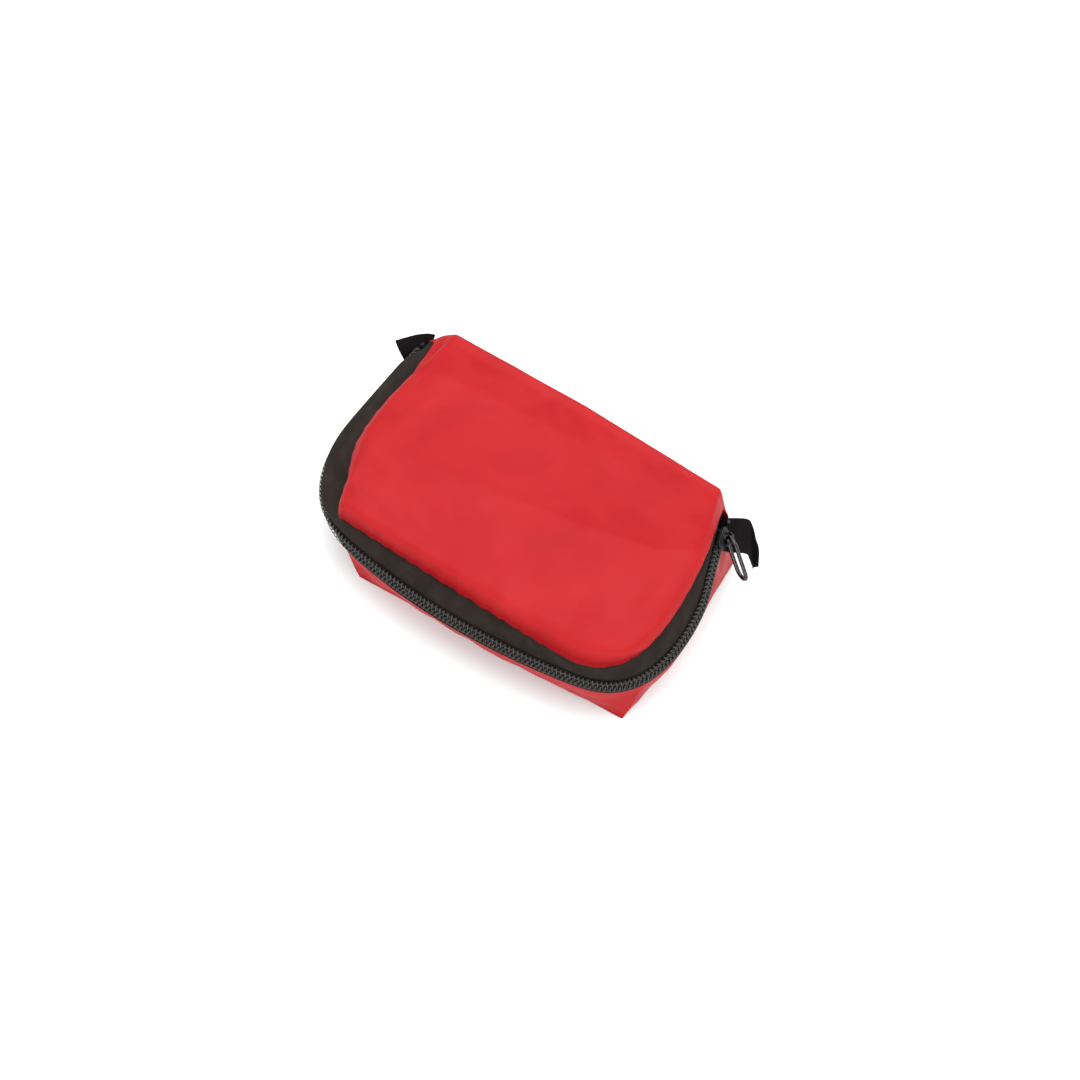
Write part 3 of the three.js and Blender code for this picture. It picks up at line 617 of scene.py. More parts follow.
# Run along the zip, across it from lid to shell, and outwards.
RUN = tangents(zip_line)
turn = eased(0.6 * SIDE, 0.4 * SIDE + 0.75 * CORNER)[:, None]
ACROSS = squared(ZIP_ACROSS_AT_SLIDER * (1 - turn) + unit(zip_line - lid_line) * turn, RUN)
ACROSS = squared(softened(ACROSS, 12.0 * np.linalg.norm(np.diff(ACROSS, axis=0), axis=1).mean()), RUN)
OUT = np.cross(RUN, ACROSS)
FACE = OUT  # the way the lid's tape faces

# Down the left side the chain turns over the pouch's edge and faces sideways.
over = 0.62 * eased(CORNER_START - 2, 0.6 * CORNER) + 0.38 * eased(LEFT_SIDE - 20, 0.4 * SIDE)
over = (over * smooth((COUNT - 1 - steps) / (0.3 * SIDE)))[:, None]
tilt = np.radians(94) * over
zip_line = zip_line - unit(ACROSS * LEVEL) * over * 0.9
ACROSS, OUT = ACROSS * np.cos(tilt) - OUT * np.sin(tilt), OUT * np.cos(tilt) + ACROSS * np.sin(tilt)
zip_length = distance_along(zip_line)


def interpolated(at, knots, points):
    return np.stack([np.interp(at, knots, points[:, k]) for k in range(3)], -1)


def along_zip(s, table):
    return interpolated(s, zip_length, table)


# ---------------------------------------------------------------- red fabric: lid, fold and rear wall in one
FABRIC = 0.45  # thickness of the coated cloth
SEAM_RISE = 0.8  # how far the lid's sewn edge stands off its tape
CREASE_LEFT = 13.0  # how far down the left seam the boxed corner's crease ends
CREASE_RIGHT = 16.0
PUFF_REACH = 5.0
FRONT_ROLL = 5.5  # depth of the steep roll along the front seam
PUCKER_REACH = 2.5
EDGE_LAP = 0.2  # how far the turned edge lies over the zip tape
LID_WIDTH, LID_DEPTH = 132.0, 79.5  # rough size of the top, for distances from its seams


def plane_height(points, a, b, c):
    """Height of the plane through a, b and c over each point."""
    normal = np.cross(b - a, c - a)
    x, y = points[..., 0] - a[0], points[..., 1] - a[1]
    return a[2] - (normal[0] * x + normal[1] * y) / normal[2]


def lapped(line, toward, lap):
    """A seam line moved out over the tape, and the small puckers that its stitches pull in it."""
    out = unit(toward - line)
    s = distance_along(line)
    wave = 0.28 * np.sin(TAU * s / 7.3 + 1.8 * np.sin(s / 9.0)) + 0.16 * np.sin(TAU * s / 3.7)
    fade = smooth(s / 6) * smooth((s[-1] - s) / 6)
    return line + out * lap, out * (wave * fade)[:, None]


def lid_top(rows, columns):
    seam, puckers = lapped(lid_line, zip_line, EDGE_LAP)
    seam = seam + FACE * SEAM_RISE
    right = seam[: RIGHT_CORNER + 1]
    front = seam[RIGHT_CORNER : LEFT_CORNER + 1]
    left = seam[LEFT_CORNER:][::-1]
    rear_right, rear_left = LID_POINTS[0], LID_POINTS[-1]
    u = np.linspace(0, 1, columns)[None, :, None]
    v = np.linspace(0, 1, rows)[:, None, None]

    fold_points = [rear_right * LEVEL + vec(0, 1.4, TOP_HEIGHT), TOP_RIGHT, TOP_MIDDLE, TOP_LEFT]
    fold_points += [TOP_LEFT + vec(-4.0, -1.2, 1.0), vec(rear_left[0], HALF_DEPTH - 0.2, TOP_HEIGHT + 0.6)]
    shares = [0, 0.03, 0.5, 0.95, 0.985, 1]
    rear = interpolated(np.linspace(0, 1, columns), shares, np.array(fold_points))

    def raised(edge, lowest, reach, end):
        """A side seam lifted to the fold's height at its rear end, and less along the crease."""
        high = edge.copy()
        high[:, 2] += (TOP_HEIGHT - lowest) * np.clip(1 - distance_along(edge) / reach, 0, 1)
        high[0] = end
        return high

    high_right = raised(right, rear_right[2], CREASE_RIGHT, rear[0])
    high_left = raised(left, rear_left[2], CREASE_LEFT, rear[-1])

    grid = high_right[:, None] * (1 - u) + high_left[:, None] * u
    grid = grid + rear[None] * (1 - v) + front[None] * v
    grid = grid - (rear[0] * (1 - u) * (1 - v) + rear[-1] * u * (1 - v))
    grid = grid - (front[0] * (1 - u) * v + front[-1] * u * v)

    def rise(share):
        return 1 - np.exp(-LID_WIDTH * share / PUFF_REACH)

    across, down = u[..., 0], v[..., 0]
    bulge = 21 * down - 13.6 * down**1.5
    front_drop = np.sqrt(1 - (1 - np.clip(LID_DEPTH * (1 - down) / FRONT_ROLL, 0, 1)) ** 2)
    grid[..., 2] += bulge * front_drop * rise(across) * rise(1 - across)

    # The boxed rear corners: each is a flat face from the seam up to a crease.
    for side, edge, corner, reach in ((-1, left, TOP_LEFT, CREASE_LEFT), (1, right, TOP_RIGHT, CREASE_RIGHT)):
        low = edge[0] + (edge[8] - edge[0]) * reach / np.linalg.norm(edge[8] - edge[0])
        face = plane_height(grid, edge[0], corner, low)
        near = smooth((grid[..., 1] - low[1] + 5) / 6) * (side * grid[..., 0] > TOP_HALF - 8)
        grid[..., 2] += near * (soft_min(grid[..., 2], face, 1.0) - grid[..., 2])
    grid[:, 0], grid[:, -1] = right, left

    for distance, pucker in (
        (LID_WIDTH * u, puckers[: RIGHT_CORNER + 1][:, None]),
        (LID_WIDTH * (1 - u), puckers[LEFT_CORNER:][::-1][:, None]),
        (LID_DEPTH * (1 - v), puckers[RIGHT_CORNER : LEFT_CORNER + 1][None]),
    ):
        grid += pucker * np.exp(-((distance / PUCKER_REACH) ** 2))
    return grid


def dent(grid, x, y, radius, depth):
    distance = np.hypot(grid[..., 0] - x, grid[..., 1] - y) / radius
    grid[..., 2] -= depth * np.exp(-distance**2)


def ridge(grid, a, b, width, height):
    """A soft fold standing up along the line from a to b, seen from above."""
    a, b = np.array(a, float), np.array(b, float)
    d = b - a
    offset = grid[..., :2] - a
    t = np.clip((offset @ d) / (d @ d), 0, 1)
    distance = np.linalg.norm(offset - t[..., None] * d, axis=-1) / width
    grid[..., 2] += height * np.exp(-distance**2) * np.sin(math.pi * np.clip(t, 0.04, 0.96))


# Creases from a to b, with their width and height, and dents at a place, with their radius and depth.
LID_CREASES = (
    ((-59, 43), (-63.5, 25), 1.6, 0.7), ((-61.5, 42), (-65.5, 27), 1.5, -1.1),
    ((-63, -26), (-52, -31), 2.2, 0.7), ((-2, -27), (2, -23), 1.2, 0.35),
    ((38, -29), (60, -24), 7, 0.9), ((57, -22), (63, 6), 3.0, 0.6),
)
LID_DENTS = ((-59, -19, 5.5, 1.5), (-61, -31, 3.5, 0.8))
REAR_CREASES = (
    ((-60, 31), (-12, 24), 2.6, 0.9), ((-52, 7), (-30, 22), 2.2, -0.8),
    ((62, 29), (22, 20), 2.4, -0.9), ((66, 5), (40, 17), 2.4, 0.8),
    ((-8, 37), (30, 33), 2.8, -0.6), ((-20, 5), (12, 12), 3.2, 0.7),
)
REAR_ROWS = 40  # rows of the sheet down the back
UPPER_ROWS = 10  # those of them above the fold that the lid opens on


def turned_under(top):
    """Rolls the lid's three sewn edges under, so that each ends in a small round fold."""
    for rim, second, inner in (
        (top[:, 0], top[:, 1], top[:, 4]),
        (top[:, -1], top[:, -2], top[:, -5]),
        (top[-1], top[-2], top[-5]),
    ):
        inward = unit((inner - rim) * LEVEL)
        second[:] = rim + inward * 0.15 + vec(0, 0, 0.3)
        rim += inward + vec(0, 0, -0.25)


def edge_distance(across, down, width, depth):
    """Distance of each point of a rectangle from its nearest edge."""
    return np.minimum(width * np.minimum(across, 1 - across), depth * np.minimum(down, 1 - down))


def sewn(obj, look, offset, body, replaced):
    """Thickens a sheet of the red cloth, with its lining inside and its coated face outside."""
    subdivide(obj)
    solid(obj, FABRIC, offset, outer_slot=1)
    return piece(obj, (LINING, look), body, replaced)


def lid_fabric():
    rows, columns = RIGHT_CORNER + 1, LEFT_CORNER - RIGHT_CORNER + 1
    top = lid_top(rows, columns)
    share = np.linspace(0, 1, columns)
    margin = edge_distance(share[None], np.linspace(0, 1, rows)[:, None], 138, 79)
    inside = smooth(margin / 9)
    top[..., 2] += inside * (0.6 * noise_at(top, 34, 3.1) + 0.16 * noise_at(top, 15, 8.4))
    near_seam = smooth(margin / 2.5) * smooth((13 - margin) / 10)
    top[..., 2] += near_seam * (0.55 * noise_at(top, 8, 1.7) + 0.25 * noise_at(top, 4.5, 5.2))
    for hollow in LID_DENTS:
        dent(top, *hollow)
    for crease in LID_CREASES:
        ridge(top, *crease)

    # Down the back: the straight upper fold, the fold that the lid opens on, and the rear wall.
    fold_right, fold_left = vec(64.3, HALF_DEPTH, 31.5), vec(-72, HALF_DEPTH, 38.7)
    fold = fold_right * (1 - share[:, None]) + fold_left * share[:, None]
    base = BASE_CORNERS[0] * (1 - share[:, None]) + BASE_CORNERS[3] * share[:, None] + vec(0, 0, 0.3)
    upper, lower = (
        (np.arange(1, count + 1) / count)[:, None, None] for count in (UPPER_ROWS, REAR_ROWS - UPPER_ROWS)
    )
    back = np.concatenate([top[0] * (1 - upper) + fold * upper, fold * (1 - lower) + base * lower])
    fallen = np.linspace(0, 1, REAR_ROWS + 1)[1:, None]
    swell = np.sin(math.pi * np.clip(fallen * 1.04, 0, 1)) * np.sin(math.pi * share)[None]
    back[..., 1] += swell * (1.6 + 1.5 * noise_at(back, 26, 2.2) + 0.45 * noise_at(back, 10, 6.6))
    upright = back[..., [0, 2, 1]]  # x along the wall, z up it, and how far it stands out
    for crease in REAR_CREASES:
        ridge(upright, *crease)
    back = upright[..., [0, 2, 1]]
    top[0, :, 2] -= 0.25
    top[1, :, 2] = (top[0, :, 2] + top[2, :, 2]) / 2
    turned_under(top)
    grid = np.concatenate([top[::-1], back])
    obj = grid_object("lid_and_rear_fabric", grid)

    hold = np.zeros(grid.shape[:2])
    hold[:rows] = 0.12 + 0.3 * smooth((4 - margin[::-1]) / 4)
    hold[rows - 2 : rows + 1] = 0.6
    hold[rows + 1 :] = 0.1
    hold[rows - 18 : rows, :14] = hold[rows - 18 : rows, -14:] = 0.6  # the boxed corners
    hold[:, 0] = hold[:, -1] = hold[0] = hold[-1] = 1.0
    settle(obj, hold, frames=22, pressure=1.4, slack=0.001, bending=60.0, passes=8)
    sewn(obj, RED_LID, -1.0, None, ("lid_top_panel", "lid_spine_panel", "rear_wall"))
    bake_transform(obj)
    return obj


lid = lid_fabric()


# ---------------------------------------------------------------- red fabric: gusset and base
def base_edge():
    """The base's edge from its right rear corner round the front, in step with the zip."""
    rear_right, front_right, front_left, rear_left = BASE_CORNERS
    right = straight(rear_right, front_right, RIGHT_CORNER)
    right[:, 0] += BASE_BOW * np.sin(math.pi * np.linspace(0, 1, len(right)))
    front = straight(front_right, front_left, LEFT_CORNER - RIGHT_CORNER)
    left = straight(front_left, rear_left, COUNT - 1 - LEFT_CORNER)
    return np.concatenate([right, front[1:], left[1:]])


base_line = base_edge()


POUCH_MIDDLE = vec(5, 0, 16)


def towards_middle(line):
    """The level direction from each point of a line towards the middle of the pouch."""
    return unit((POUCH_MIDDLE - line) * LEVEL)


def gusset_fabric():
    """The lower wall all round, from the base edge to the zip: pointed corners below, rounded above."""
    top, puckers = lapped(shell_line, zip_line, 0.8)
    top = top - towards_middle(top) * FABRIC
    t = np.linspace(0, 1, 18)[:, None, None]
    grid = base_line[None] * (1 - t) + top[None] * t + puckers[None] * t**6
    normal = unit(np.cross(np.gradient(grid, axis=1), np.gradient(grid, axis=0)))
    normal *= np.sign(np.sum(normal * (grid - POUCH_MIDDLE), -1, keepdims=True))
    corners = [0, RIGHT_CORNER, LEFT_CORNER, COUNT - 1]
    belly = np.zeros(COUNT)
    for start, end, depth in zip(corners, corners[1:], (1.6, 1.5, 1.5)):
        belly[start : end + 1] = depth * np.sin(math.pi * (steps[start : end + 1] - start) / (end - start))
    height = np.sin(math.pi * t[..., 0] ** 0.8)
    wrinkle = 0.8 * noise_at(grid, 13, 4.4) + 0.35 * noise_at(grid, 6, 9.1)
    beside_corner = sum(np.exp(-(((steps - corner) / 30.0) ** 2)) for corner in corners[1:3])
    wrinkle *= smooth(np.minimum(steps, COUNT - 1 - steps) / 8)
    grid = grid + normal * (height * (belly + wrinkle * (0.35 + 0.65 * beside_corner)))[..., None]
    grid[..., 2] = np.maximum(grid[..., 2], 0.05)
    grid[:, 0, 1] = grid[:, -1, 1] = HALF_DEPTH - 0.1
    obj = grid_object("gusset_fabric", grid)
    hold = np.full(grid.shape[:2], 0.15)
    hold[:, 0] = hold[:, -1] = hold[0] = hold[-1] = 1.0
    settle(obj, hold, frames=18, pressure=-0.5, slack=0.006, bending=20.0)
    return sewn(obj, RED, 1.0, "shell", ("front_wall", "right_wall", "left_wall"))


def base_fabric():
    rear_right, front_right, front_left, rear_left = BASE_CORNERS
    p, q = np.meshgrid(np.linspace(0, 1, 90), np.linspace(0, 1, 60))
    p, q = p[..., None], q[..., None]
    grid = (front_left * (1 - p) + front_right * p) * (1 - q) + (rear_left * (1 - p) + rear_right * p) * q
    grid[..., 0] += BASE_BOW * (p * np.sin(math.pi * q))[..., 0]
    lift = 0.35 + 0.35 * noise_at(grid, 22, 5.5) + 0.15 * noise_at(grid, 8, 1.5)
    grid[..., 2] = 0.05 + np.clip(lift, 0, 1) * smooth(edge_distance(p, q, 120, 82)[..., 0] / 5)
    return sewn(grid_object("base_fabric", grid), RED, 1.0, "shell", ("base_panel",))


gusset = gusset_fabric()
base = base_fabric()

# ---------------------------------------------------------------- zip
CHAIN_OFFSET = 0.95  # middle of each coil from the chain's centre line
LOOP_HALF_WIDTH = 0.95
LOOP_HALF_HEIGHT = 0.62
COIL_WIRE = 0.33
COIL_PITCH = 1.8
COIL_END = 3.0  # how far the coils stop before the zip's end
STITCH_OFFSET = 1.38
TAPE_THICKNESS = 0.3
TUCK = 1.6  # how far the tape's outer edge lies behind its seam
SLIDER_AT = 7.5
SLIDER_LENGTH = 8.5
LID, SHELL = -1, 1  # the zip's two sides, along ACROSS
BODY = {LID: "lid", SHELL: "shell"}


def beside_chain(side, start, end, per_loop):
    """The coil's phase at steps along the zip, and a function that places points beside them."""
    s = np.linspace(start, end, int((end - start) / COIL_PITCH * per_loop))
    phase = TAU * s / COIL_PITCH + (math.pi if side == SHELL else 0)
    middle, over, out = (along_zip(s, table) for table in (zip_line, ACROSS, OUT))
    return phase, lambda across, lift: middle + over * side * across + out * lift


def coil(side, start):
    """One row of coils: a flattened helix whose loops reach in between the other row's."""
    phase, place = beside_chain(side, start, zip_length[-1] - COIL_END, 12)
    across = CHAIN_OFFSET - LOOP_HALF_WIDTH * np.cos(phase)
    path = place(across[:, None], LOOP_HALF_HEIGHT * np.sin(phase)[:, None])
    obj = tube(f"coil_{BODY[side]}", path, COIL_WIRE, 8)
    piece(obj, COIL, BODY[side], (f"zip_coil_{BODY[side]}",))


def coil_stitches(side, start):
    """Sewing thread that runs over the coil's wires along its outer half."""
    phase, place = beside_chain(side, start, zip_length[-1] - COIL_END - 1, 8)
    lift = LOOP_HALF_HEIGHT * 0.86 + COIL_WIRE + 0.1 * np.cos(phase + 2.1)
    obj = tube(f"coil_stitches_{BODY[side]}", place(STITCH_OFFSET, lift[:, None]), 0.15, 6)
    piece(obj, BLACK_THREAD, BODY[side])


def tucked_edge(side, seam):
    """Where the tape's outer edge lies, inside the pouch behind its seam."""
    if side == LID:
        return seam + unit(seam - zip_line) * TUCK - FACE * 0.5
    return seam + unit(base_line - seam) * TUCK + towards_middle(seam) * 1.5


def to_rear_wall(grid):
    """Carries both ends of a strip on to the rear wall, which closes the pouch behind the zip's ends."""
    first, last = (
        column * vec(1, 0, 1) + vec(0, HALF_DEPTH - 0.1, 0) for column in (grid[:, :1], grid[:, -1:])
    )
    return np.concatenate([first, grid, last], axis=1)


def tape(side, seam):
    """Woven tape from under the coil to its seam, where it is tucked behind the red fabric."""
    under_coil = [(0.2, -1.08), (1.5, -1.08), (2.1, -0.95), (2.6, -0.5), (3.0, -0.2)]
    lines = []
    beside_slider = smooth((15.5 - zip_length) / 3)[:, None]
    for k, (offset, out) in enumerate(under_coil):
        offset = offset * (1 - beside_slider) + (2.85 + 0.07 * k) * beside_slider
        out = out * (1 - beside_slider) - 0.3 * beside_slider
        lines.append(zip_line + ACROSS * side * offset + OUT * out)
    start, tuck = lines[-1], tucked_edge(side, seam)
    swell = (0.3 + 0.22 * noise_at(start, 12, 7.7 + side))[:, None]
    for t in np.linspace(0, 1, 9)[1:]:
        lines.append(start * (1 - t) + tuck * t + FACE * swell * math.sin(math.pi * t))
    obj = grid_object(f"tape_{BODY[side]}", to_rear_wall(np.array(lines)))
    normals = np.zeros(len(obj.data.polygons) * 3)
    obj.data.polygons.foreach_get("normal", normals)
    facing = normals.reshape(-1, 3).mean(0) @ OUT.mean(0)
    subdivide(obj)
    solid(obj, TAPE_THICKNESS, offset=-1.0 if facing > 0 else 1.0)
    return piece(obj, TAPE_CLOTH, BODY[side], (f"zip_tape_{BODY[side]}",))


def binding(side, seam):
    """A folded tape sewn over the seam allowance inside the pouch."""
    inward = FACE if side == LID else towards_middle(seam)
    line = tucked_edge(side, seam) + inward * (-1.0 if side == LID else 0.8)
    line, inward = line[4:-4], inward[4:-4]
    run = tangents(line)
    thin = squared(inward, run)
    wobble = 1 + 0.12 * noise_at(line, 5, 3.3)
    obj = tube(f"binding_{BODY[side]}", line, 1.1 * wobble, 12, flat=0.4, cross=(np.cross(run, thin), thin))
    piece(obj, BINDING_CLOTH, BODY[side], (f"seam_binding_{BODY[side]}",))


slider_clear = SLIDER_AT + SLIDER_LENGTH / 2 + 0.3
coil(LID, slider_clear)
coil(SHELL, 1.8)
coil_stitches(LID, slider_clear + 0.3)
coil_stitches(SHELL, 2.2)
tape_lid, tape_shell = tape(LID, lid_line), tape(SHELL, shell_line)
binding(LID, lid_line)
binding(SHELL, shell_line)


# ---------------------------------------------------------------- slider, pull and stops
def zip_place(s):
    """Maps local run, across and outward coordinates to the frame at a distance along the zip."""
    origin = along_zip(s, zip_line)
    axes = np.stack([along_zip(s, RUN), along_zip(s, ACROSS), along_zip(s, OUT)])
    return lambda p: origin + np.asarray(p, float) @ axes


def rounded_box(name, size, centre, radius, place=None):
    (x, y, z), (cx, cy, cz) = (v / 2 for v in size), centre
    outline = [(cx - x, cy - y), (cx + x, cy - y), (cx + x, cy + y), (cx - x, cy + y)]
    return plate(name, outline, cz - z, cz + z, radius, place)


def mirrored(outline):
    """The outline closed by its mirror image in Y. Its last point lies on the mirror line."""
    return outline + [(x, -y) for x, y in outline[-2::-1]]


def slider_outline(scale_x=1.0, scale_y=1.0):
    nose, half, round_nose = SLIDER_LENGTH / 2, 2.7, 2.6
    straight_end = nose - round_nose
    outline = [(-nose, -half * 0.72), (-nose + 0.6, -half * 0.8), (straight_end, -half)]
    for angle in np.linspace(0.15, math.pi / 2, 8):
        outline.append((straight_end + round_nose * math.sin(angle), -half * math.cos(angle)))
    return [(x * scale_x, y * scale_y) for x, y in mirrored(outline)]


def slider():
    place = zip_place(SLIDER_AT)
    parts = [
        plate("top_plate", slider_outline(), 1.25, 2.05, 0.3, place),
        plate("raised_back", slider_outline(0.72, 0.62), 1.95, 2.35, 0.25, place),
        plate("bottom_plate", slider_outline(), -2.05, -1.25, 0.3, place),
        rounded_box("post", (2.0, 0.3, 3.3), (-SLIDER_LENGTH / 2 + 1.6, 0, 0), 0.1, place),
    ]
    for side in (-1, 1):
        lip = [(-3.4, 2.2), (1.4, 2.36), (1.4, 2.68), (-3.4, 2.5)]
        parts.append(plate("lip", [(x, side * y) for x, y in lip], 0.62, 1.35, 0.12, place))
    half_arch = [(-2.35, 1.7), (-2.35, 3.0), (-2.3, 4.1), (-1.9, 5.1), (-1.1, 5.45), (0, 5.5)]
    arch = half_arch + [(-x, z) for x, z in half_arch[-2::-1]]
    line = catmull([(x, 0, z) for x, z in arch], 6)
    side = np.tile(vec(0, 1, 0), (len(line), 1))
    crown = tube("crown", line, 0.68, 14, flat=0.68, cross=(side, np.cross(tangents(line), side)))
    coordinates = np.array([v.co for v in crown.data.vertices]) / MM
    for vertex, moved in zip(crown.data.vertices, place(coordinates) * MM):
        vertex.co = moved
    parts.append(crown)
    piece(merged("slider", parts), LACQUER, "slider", ("slider_body",))


PULL_LENGTH, PULL_WIDTH, PULL_WIRE = 19.8, 8.4, 0.8
PULL_YAW = math.radians(35)
PULL_LEAN = math.radians(31)  # how far the ring has rolled over about its lower leg
PULL_HEIGHT = 2.05 + PULL_WIRE + 0.3  # its lower leg, just above the slider's top plate


def pull():
    """An oval wire ring through the crown."""
    place = zip_place(SLIDER_AT)
    radius = PULL_WIDTH / 2 - PULL_WIRE
    half = PULL_LENGTH / 2 - PULL_WIRE - radius
    middle = -1.75 + half + radius
    path = []  # along the ring, and up from its lower leg
    for end in (-1, 1):
        for angle in np.linspace(-math.pi / 2, math.pi / 2, 15):
            along = middle + end * (half + radius * math.cos(angle))
            path.append((along, radius * (1 + end * math.sin(angle))))
        y0, z0 = path[-1]
        path += [(y0 + t * (middle - end * half - y0), z0) for t in np.linspace(0, 1, 9)[1:-1]]
    sine, cosine = math.sin(PULL_YAW), math.cos(PULL_YAW)
    turned = []
    for y, z in path:
        sway = z * math.sin(PULL_LEAN)
        rise = PULL_HEIGHT + z * math.cos(PULL_LEAN)
        turned.append((y * sine + sway * cosine, y * cosine - sway * sine, rise))
    obj = tube("pull", place(turned), PULL_WIRE, 14, closed=True)
    piece(obj, NICKEL, "pull", ("pull_ring",))


def stops():
    place = zip_place(1.2)
    parts = [
        rounded_box("stop", (1.6, 1.8, 2.0), (-1.2, 1.0, 0.4), 0.35, place),
        rounded_box("stop_rib", (0.5, 1.95, 2.15), (-1.2, 1.0, 0.4), 0.2, place),
    ]
    piece(merged("top_stop", parts), LACQUER, "shell", ("zip_top_stop",))
    place = zip_place(zip_length[-1] - 1.4)
    parts = [rounded_box("stop", (2.0, 4.3, 1.9), (0, 0, 0), 0.45, place)]
    parts += [rounded_box("rib", (0.35, 4.4, 2.05), (k, 0, 0), 0.15, place) for k in (-0.55, 0.55)]
    piece(merged("bottom_stop", parts), LACQUER, "shell", ("zip_bottom_stop",))


slider()
pull()
stops()

# ---------------------------------------------------------------- ribbon tabs
RIBBON_THICKNESS = 0.9


def tab(name, far_edge, near_edge, bow, node):
    """A ribbon between its two long edges, bowed a little across its width."""
    far, near = catmull(far_edge, 8), catmull(near_edge, 8)
    w = np.linspace(0, 1, 15)[None, :, None]
    grid = far[:, None] * (1 - w) + near[:, None] * w
    normal = unit(np.cross(np.gradient(grid, axis=0), np.gradient(grid, axis=1)))
    grid = grid + normal * bow * np.sin(math.pi * w) + normal * 0.1 * noise_at(grid, 3.5, 2.0)[..., None]
    obj = grid_object(name, grid)
    subdivide(obj)
    solid(obj, RIBBON_THICKNESS, offset=0.0)
    return piece(obj, RIBBON, "shell", (node,))


tab_right = tab(
    "ribbon_tab_right",
    [
        (62.4, 39.2, 30.5), (66.8, 42.7, 30), (71.7, 45.4, 28.5),
        (76.5, 41.2, 26), (79.3, 38.9, 23.5), (82, 34.6, 19),
    ],
    [
        (67.6, 28.6, 28.2), (71.9, 30.4, 27.5), (77, 34.3, 25),
        (78.4, 35.2, 20.5), (78.8, 36.5, 15), (78.6, 38.1, 8.5),
    ],
    0.5,
    "tab_right",
)
tab_left = tab(
    "ribbon_tab_left",
    [(-69.3, 42.9, 43.2), (-71.4, 42.4, 43), (-74.7, 40.9, 42), (-78.1, 38.3, 41), (-82.9, 35.1, 38)],
    [(-69, 36.5, 34), (-70.6, 35.4, 33.3), (-72.4, 34, 33), (-74, 32.6, 33.2), (-76, 31, 33.8)],
    0.6,
    "tab_left",
)


# ---------------------------------------------------------------- supplies: packets
def packet(name, node, look, slot, seal, ramp=3.0, wrinkle=0.25, puffs=0.0):
    """A sealed packet: a flat ridged rim all round, and a raised middle over what it holds."""
    lo, hi, centre = box_mm(node)[:3]
    size, crimp = hi - lo, 1.1
    flat_axis = int(np.argmin(size))
    a, b = [k for k in range(3) if k != flat_axis]
    na, nb = (int(np.clip(size[k] / 0.8, 24, 110)) for k in (a, b))
    pa, pb = np.meshgrid(np.linspace(-0.5, 0.5, na), np.linspace(-0.5, 0.5, nb))
    ea, eb = (0.5 - np.abs(pa)) * size[a], (0.5 - np.abs(pb)) * size[b]
    body_height = smooth((ea - seal[0] + ramp / 2) / ramp) * smooth((eb - seal[1] + ramp / 2) / ramp)
    half = size[flat_axis] / 2
    rim = min(0.18, half * 0.4)
    spots = np.stack([pa * size[a], pb * size[b], np.zeros_like(pa)], -1) + centre
    rough = noise_at(spots, 9, 3.7) + 0.6 * noise_at(spots, 4, 8.8)
    ridges = sum(np.where(e < width, np.sin(TAU * e / crimp), 0) for e, width in zip((ea, eb), seal))
    domed = 1 - puffs * (1 - np.cos(pa * math.pi) * np.cos(pb * math.pi))
    sheets = []
    for side in (1, -1):
        h = rim + (half - rim) * body_height * domed
        h = h * (1 - wrinkle * 0.25 * (1 + rough * side)) + 0.08 * ridges * side * (1 - body_height)
        h = np.clip(h, 0.06 if side > 0 else 0.05, half)
        sheet = np.zeros((nb, na, 3))
        sheet[..., a] = centre[a] + pa * size[a]
        sheet[..., b] = centre[b] + pb * size[b]
        sheet[..., flat_axis] = centre[flat_axis] + side * h
        sheets.append(sheet)
    count = na * nb
    points = np.concatenate([s.reshape(-1, 3) for s in sheets])
    faces = grid_faces(nb, na)
    faces = faces + [tuple(count + k for k in face[::-1]) for face in faces]
    index = np.arange(count).reshape(nb, na)
    border = [*index[0], *index[1:, -1], *index[-1, -2::-1], *index[-2:0:-1, 0]]
    for first, second in zip(border, border[1:] + border[:1]):
        faces.append((second, first, count + first, count + second))
    uvs = np.stack([(pa + 0.5) * size[a] / 10, (pb + 0.5) * size[b] / 10], -1).reshape(-1, 2)
    obj = mesh_object(name, points, faces, np.concatenate([uvs, uvs]))
    outwards(obj)
    piece(obj, look, "shell", (node,))


for k in (1, 2):
    packet(f"gauze_dressing_{k}", f"gauze_sachet_{k}", SACHET, "sachet_paper", (5, 5))
for k in (1, 2, 3):
    packet(f"antiseptic_wipe_{k}", f"wipe_sachet_{k}", WIPE_FOIL, "wipe_foil", (5, 5), wrinkle=0.5)
for k in (1, 2, 3, 4):
    packet(f"sticking_plaster_{k}", f"plaster_{k}", PLASTER_PAPER, "plaster_paper", (4, 2), ramp=2.0)
bandage = ("triangular_bandage", "triangular_bandage_pack")
packet(*bandage, BANDAGE_PACK, "sachet_paper", (5, 0.6), 6.0, 0.5, 0.25)
packet("glove_packet", "gloves_pack", GLOVE_BAG, "glove_bag", (0.5, 3.5), 7.0, 0.9, 0.2)


def rounded_rectangle(half_x, half_y, radius, per_side):
    points, per_corner = [], 8
    centres = [(1, 1, 0), (-1, 1, 1), (-1, -1, 2), (1, -1, 3)]
    for sx, sy, quarter in centres:
        cx, cy = sx * (half_x - radius), sy * (half_y - radius)
        for a in np.linspace(quarter, quarter + 1, per_corner) * math.pi / 2:
            points.append((cx + radius * math.cos(a), cy + radius * math.sin(a)))
    corners = np.array(points)
    out = []
    for k, p in enumerate(corners):
        out.append(p)
        following = corners[(k + 1) % len(corners)]
        if np.linalg.norm(following - p) > 4 * radius:
            out += [p + (following - p) * t for t in np.linspace(0, 1, per_side + 1)[1:-1]]
    return np.array(out)


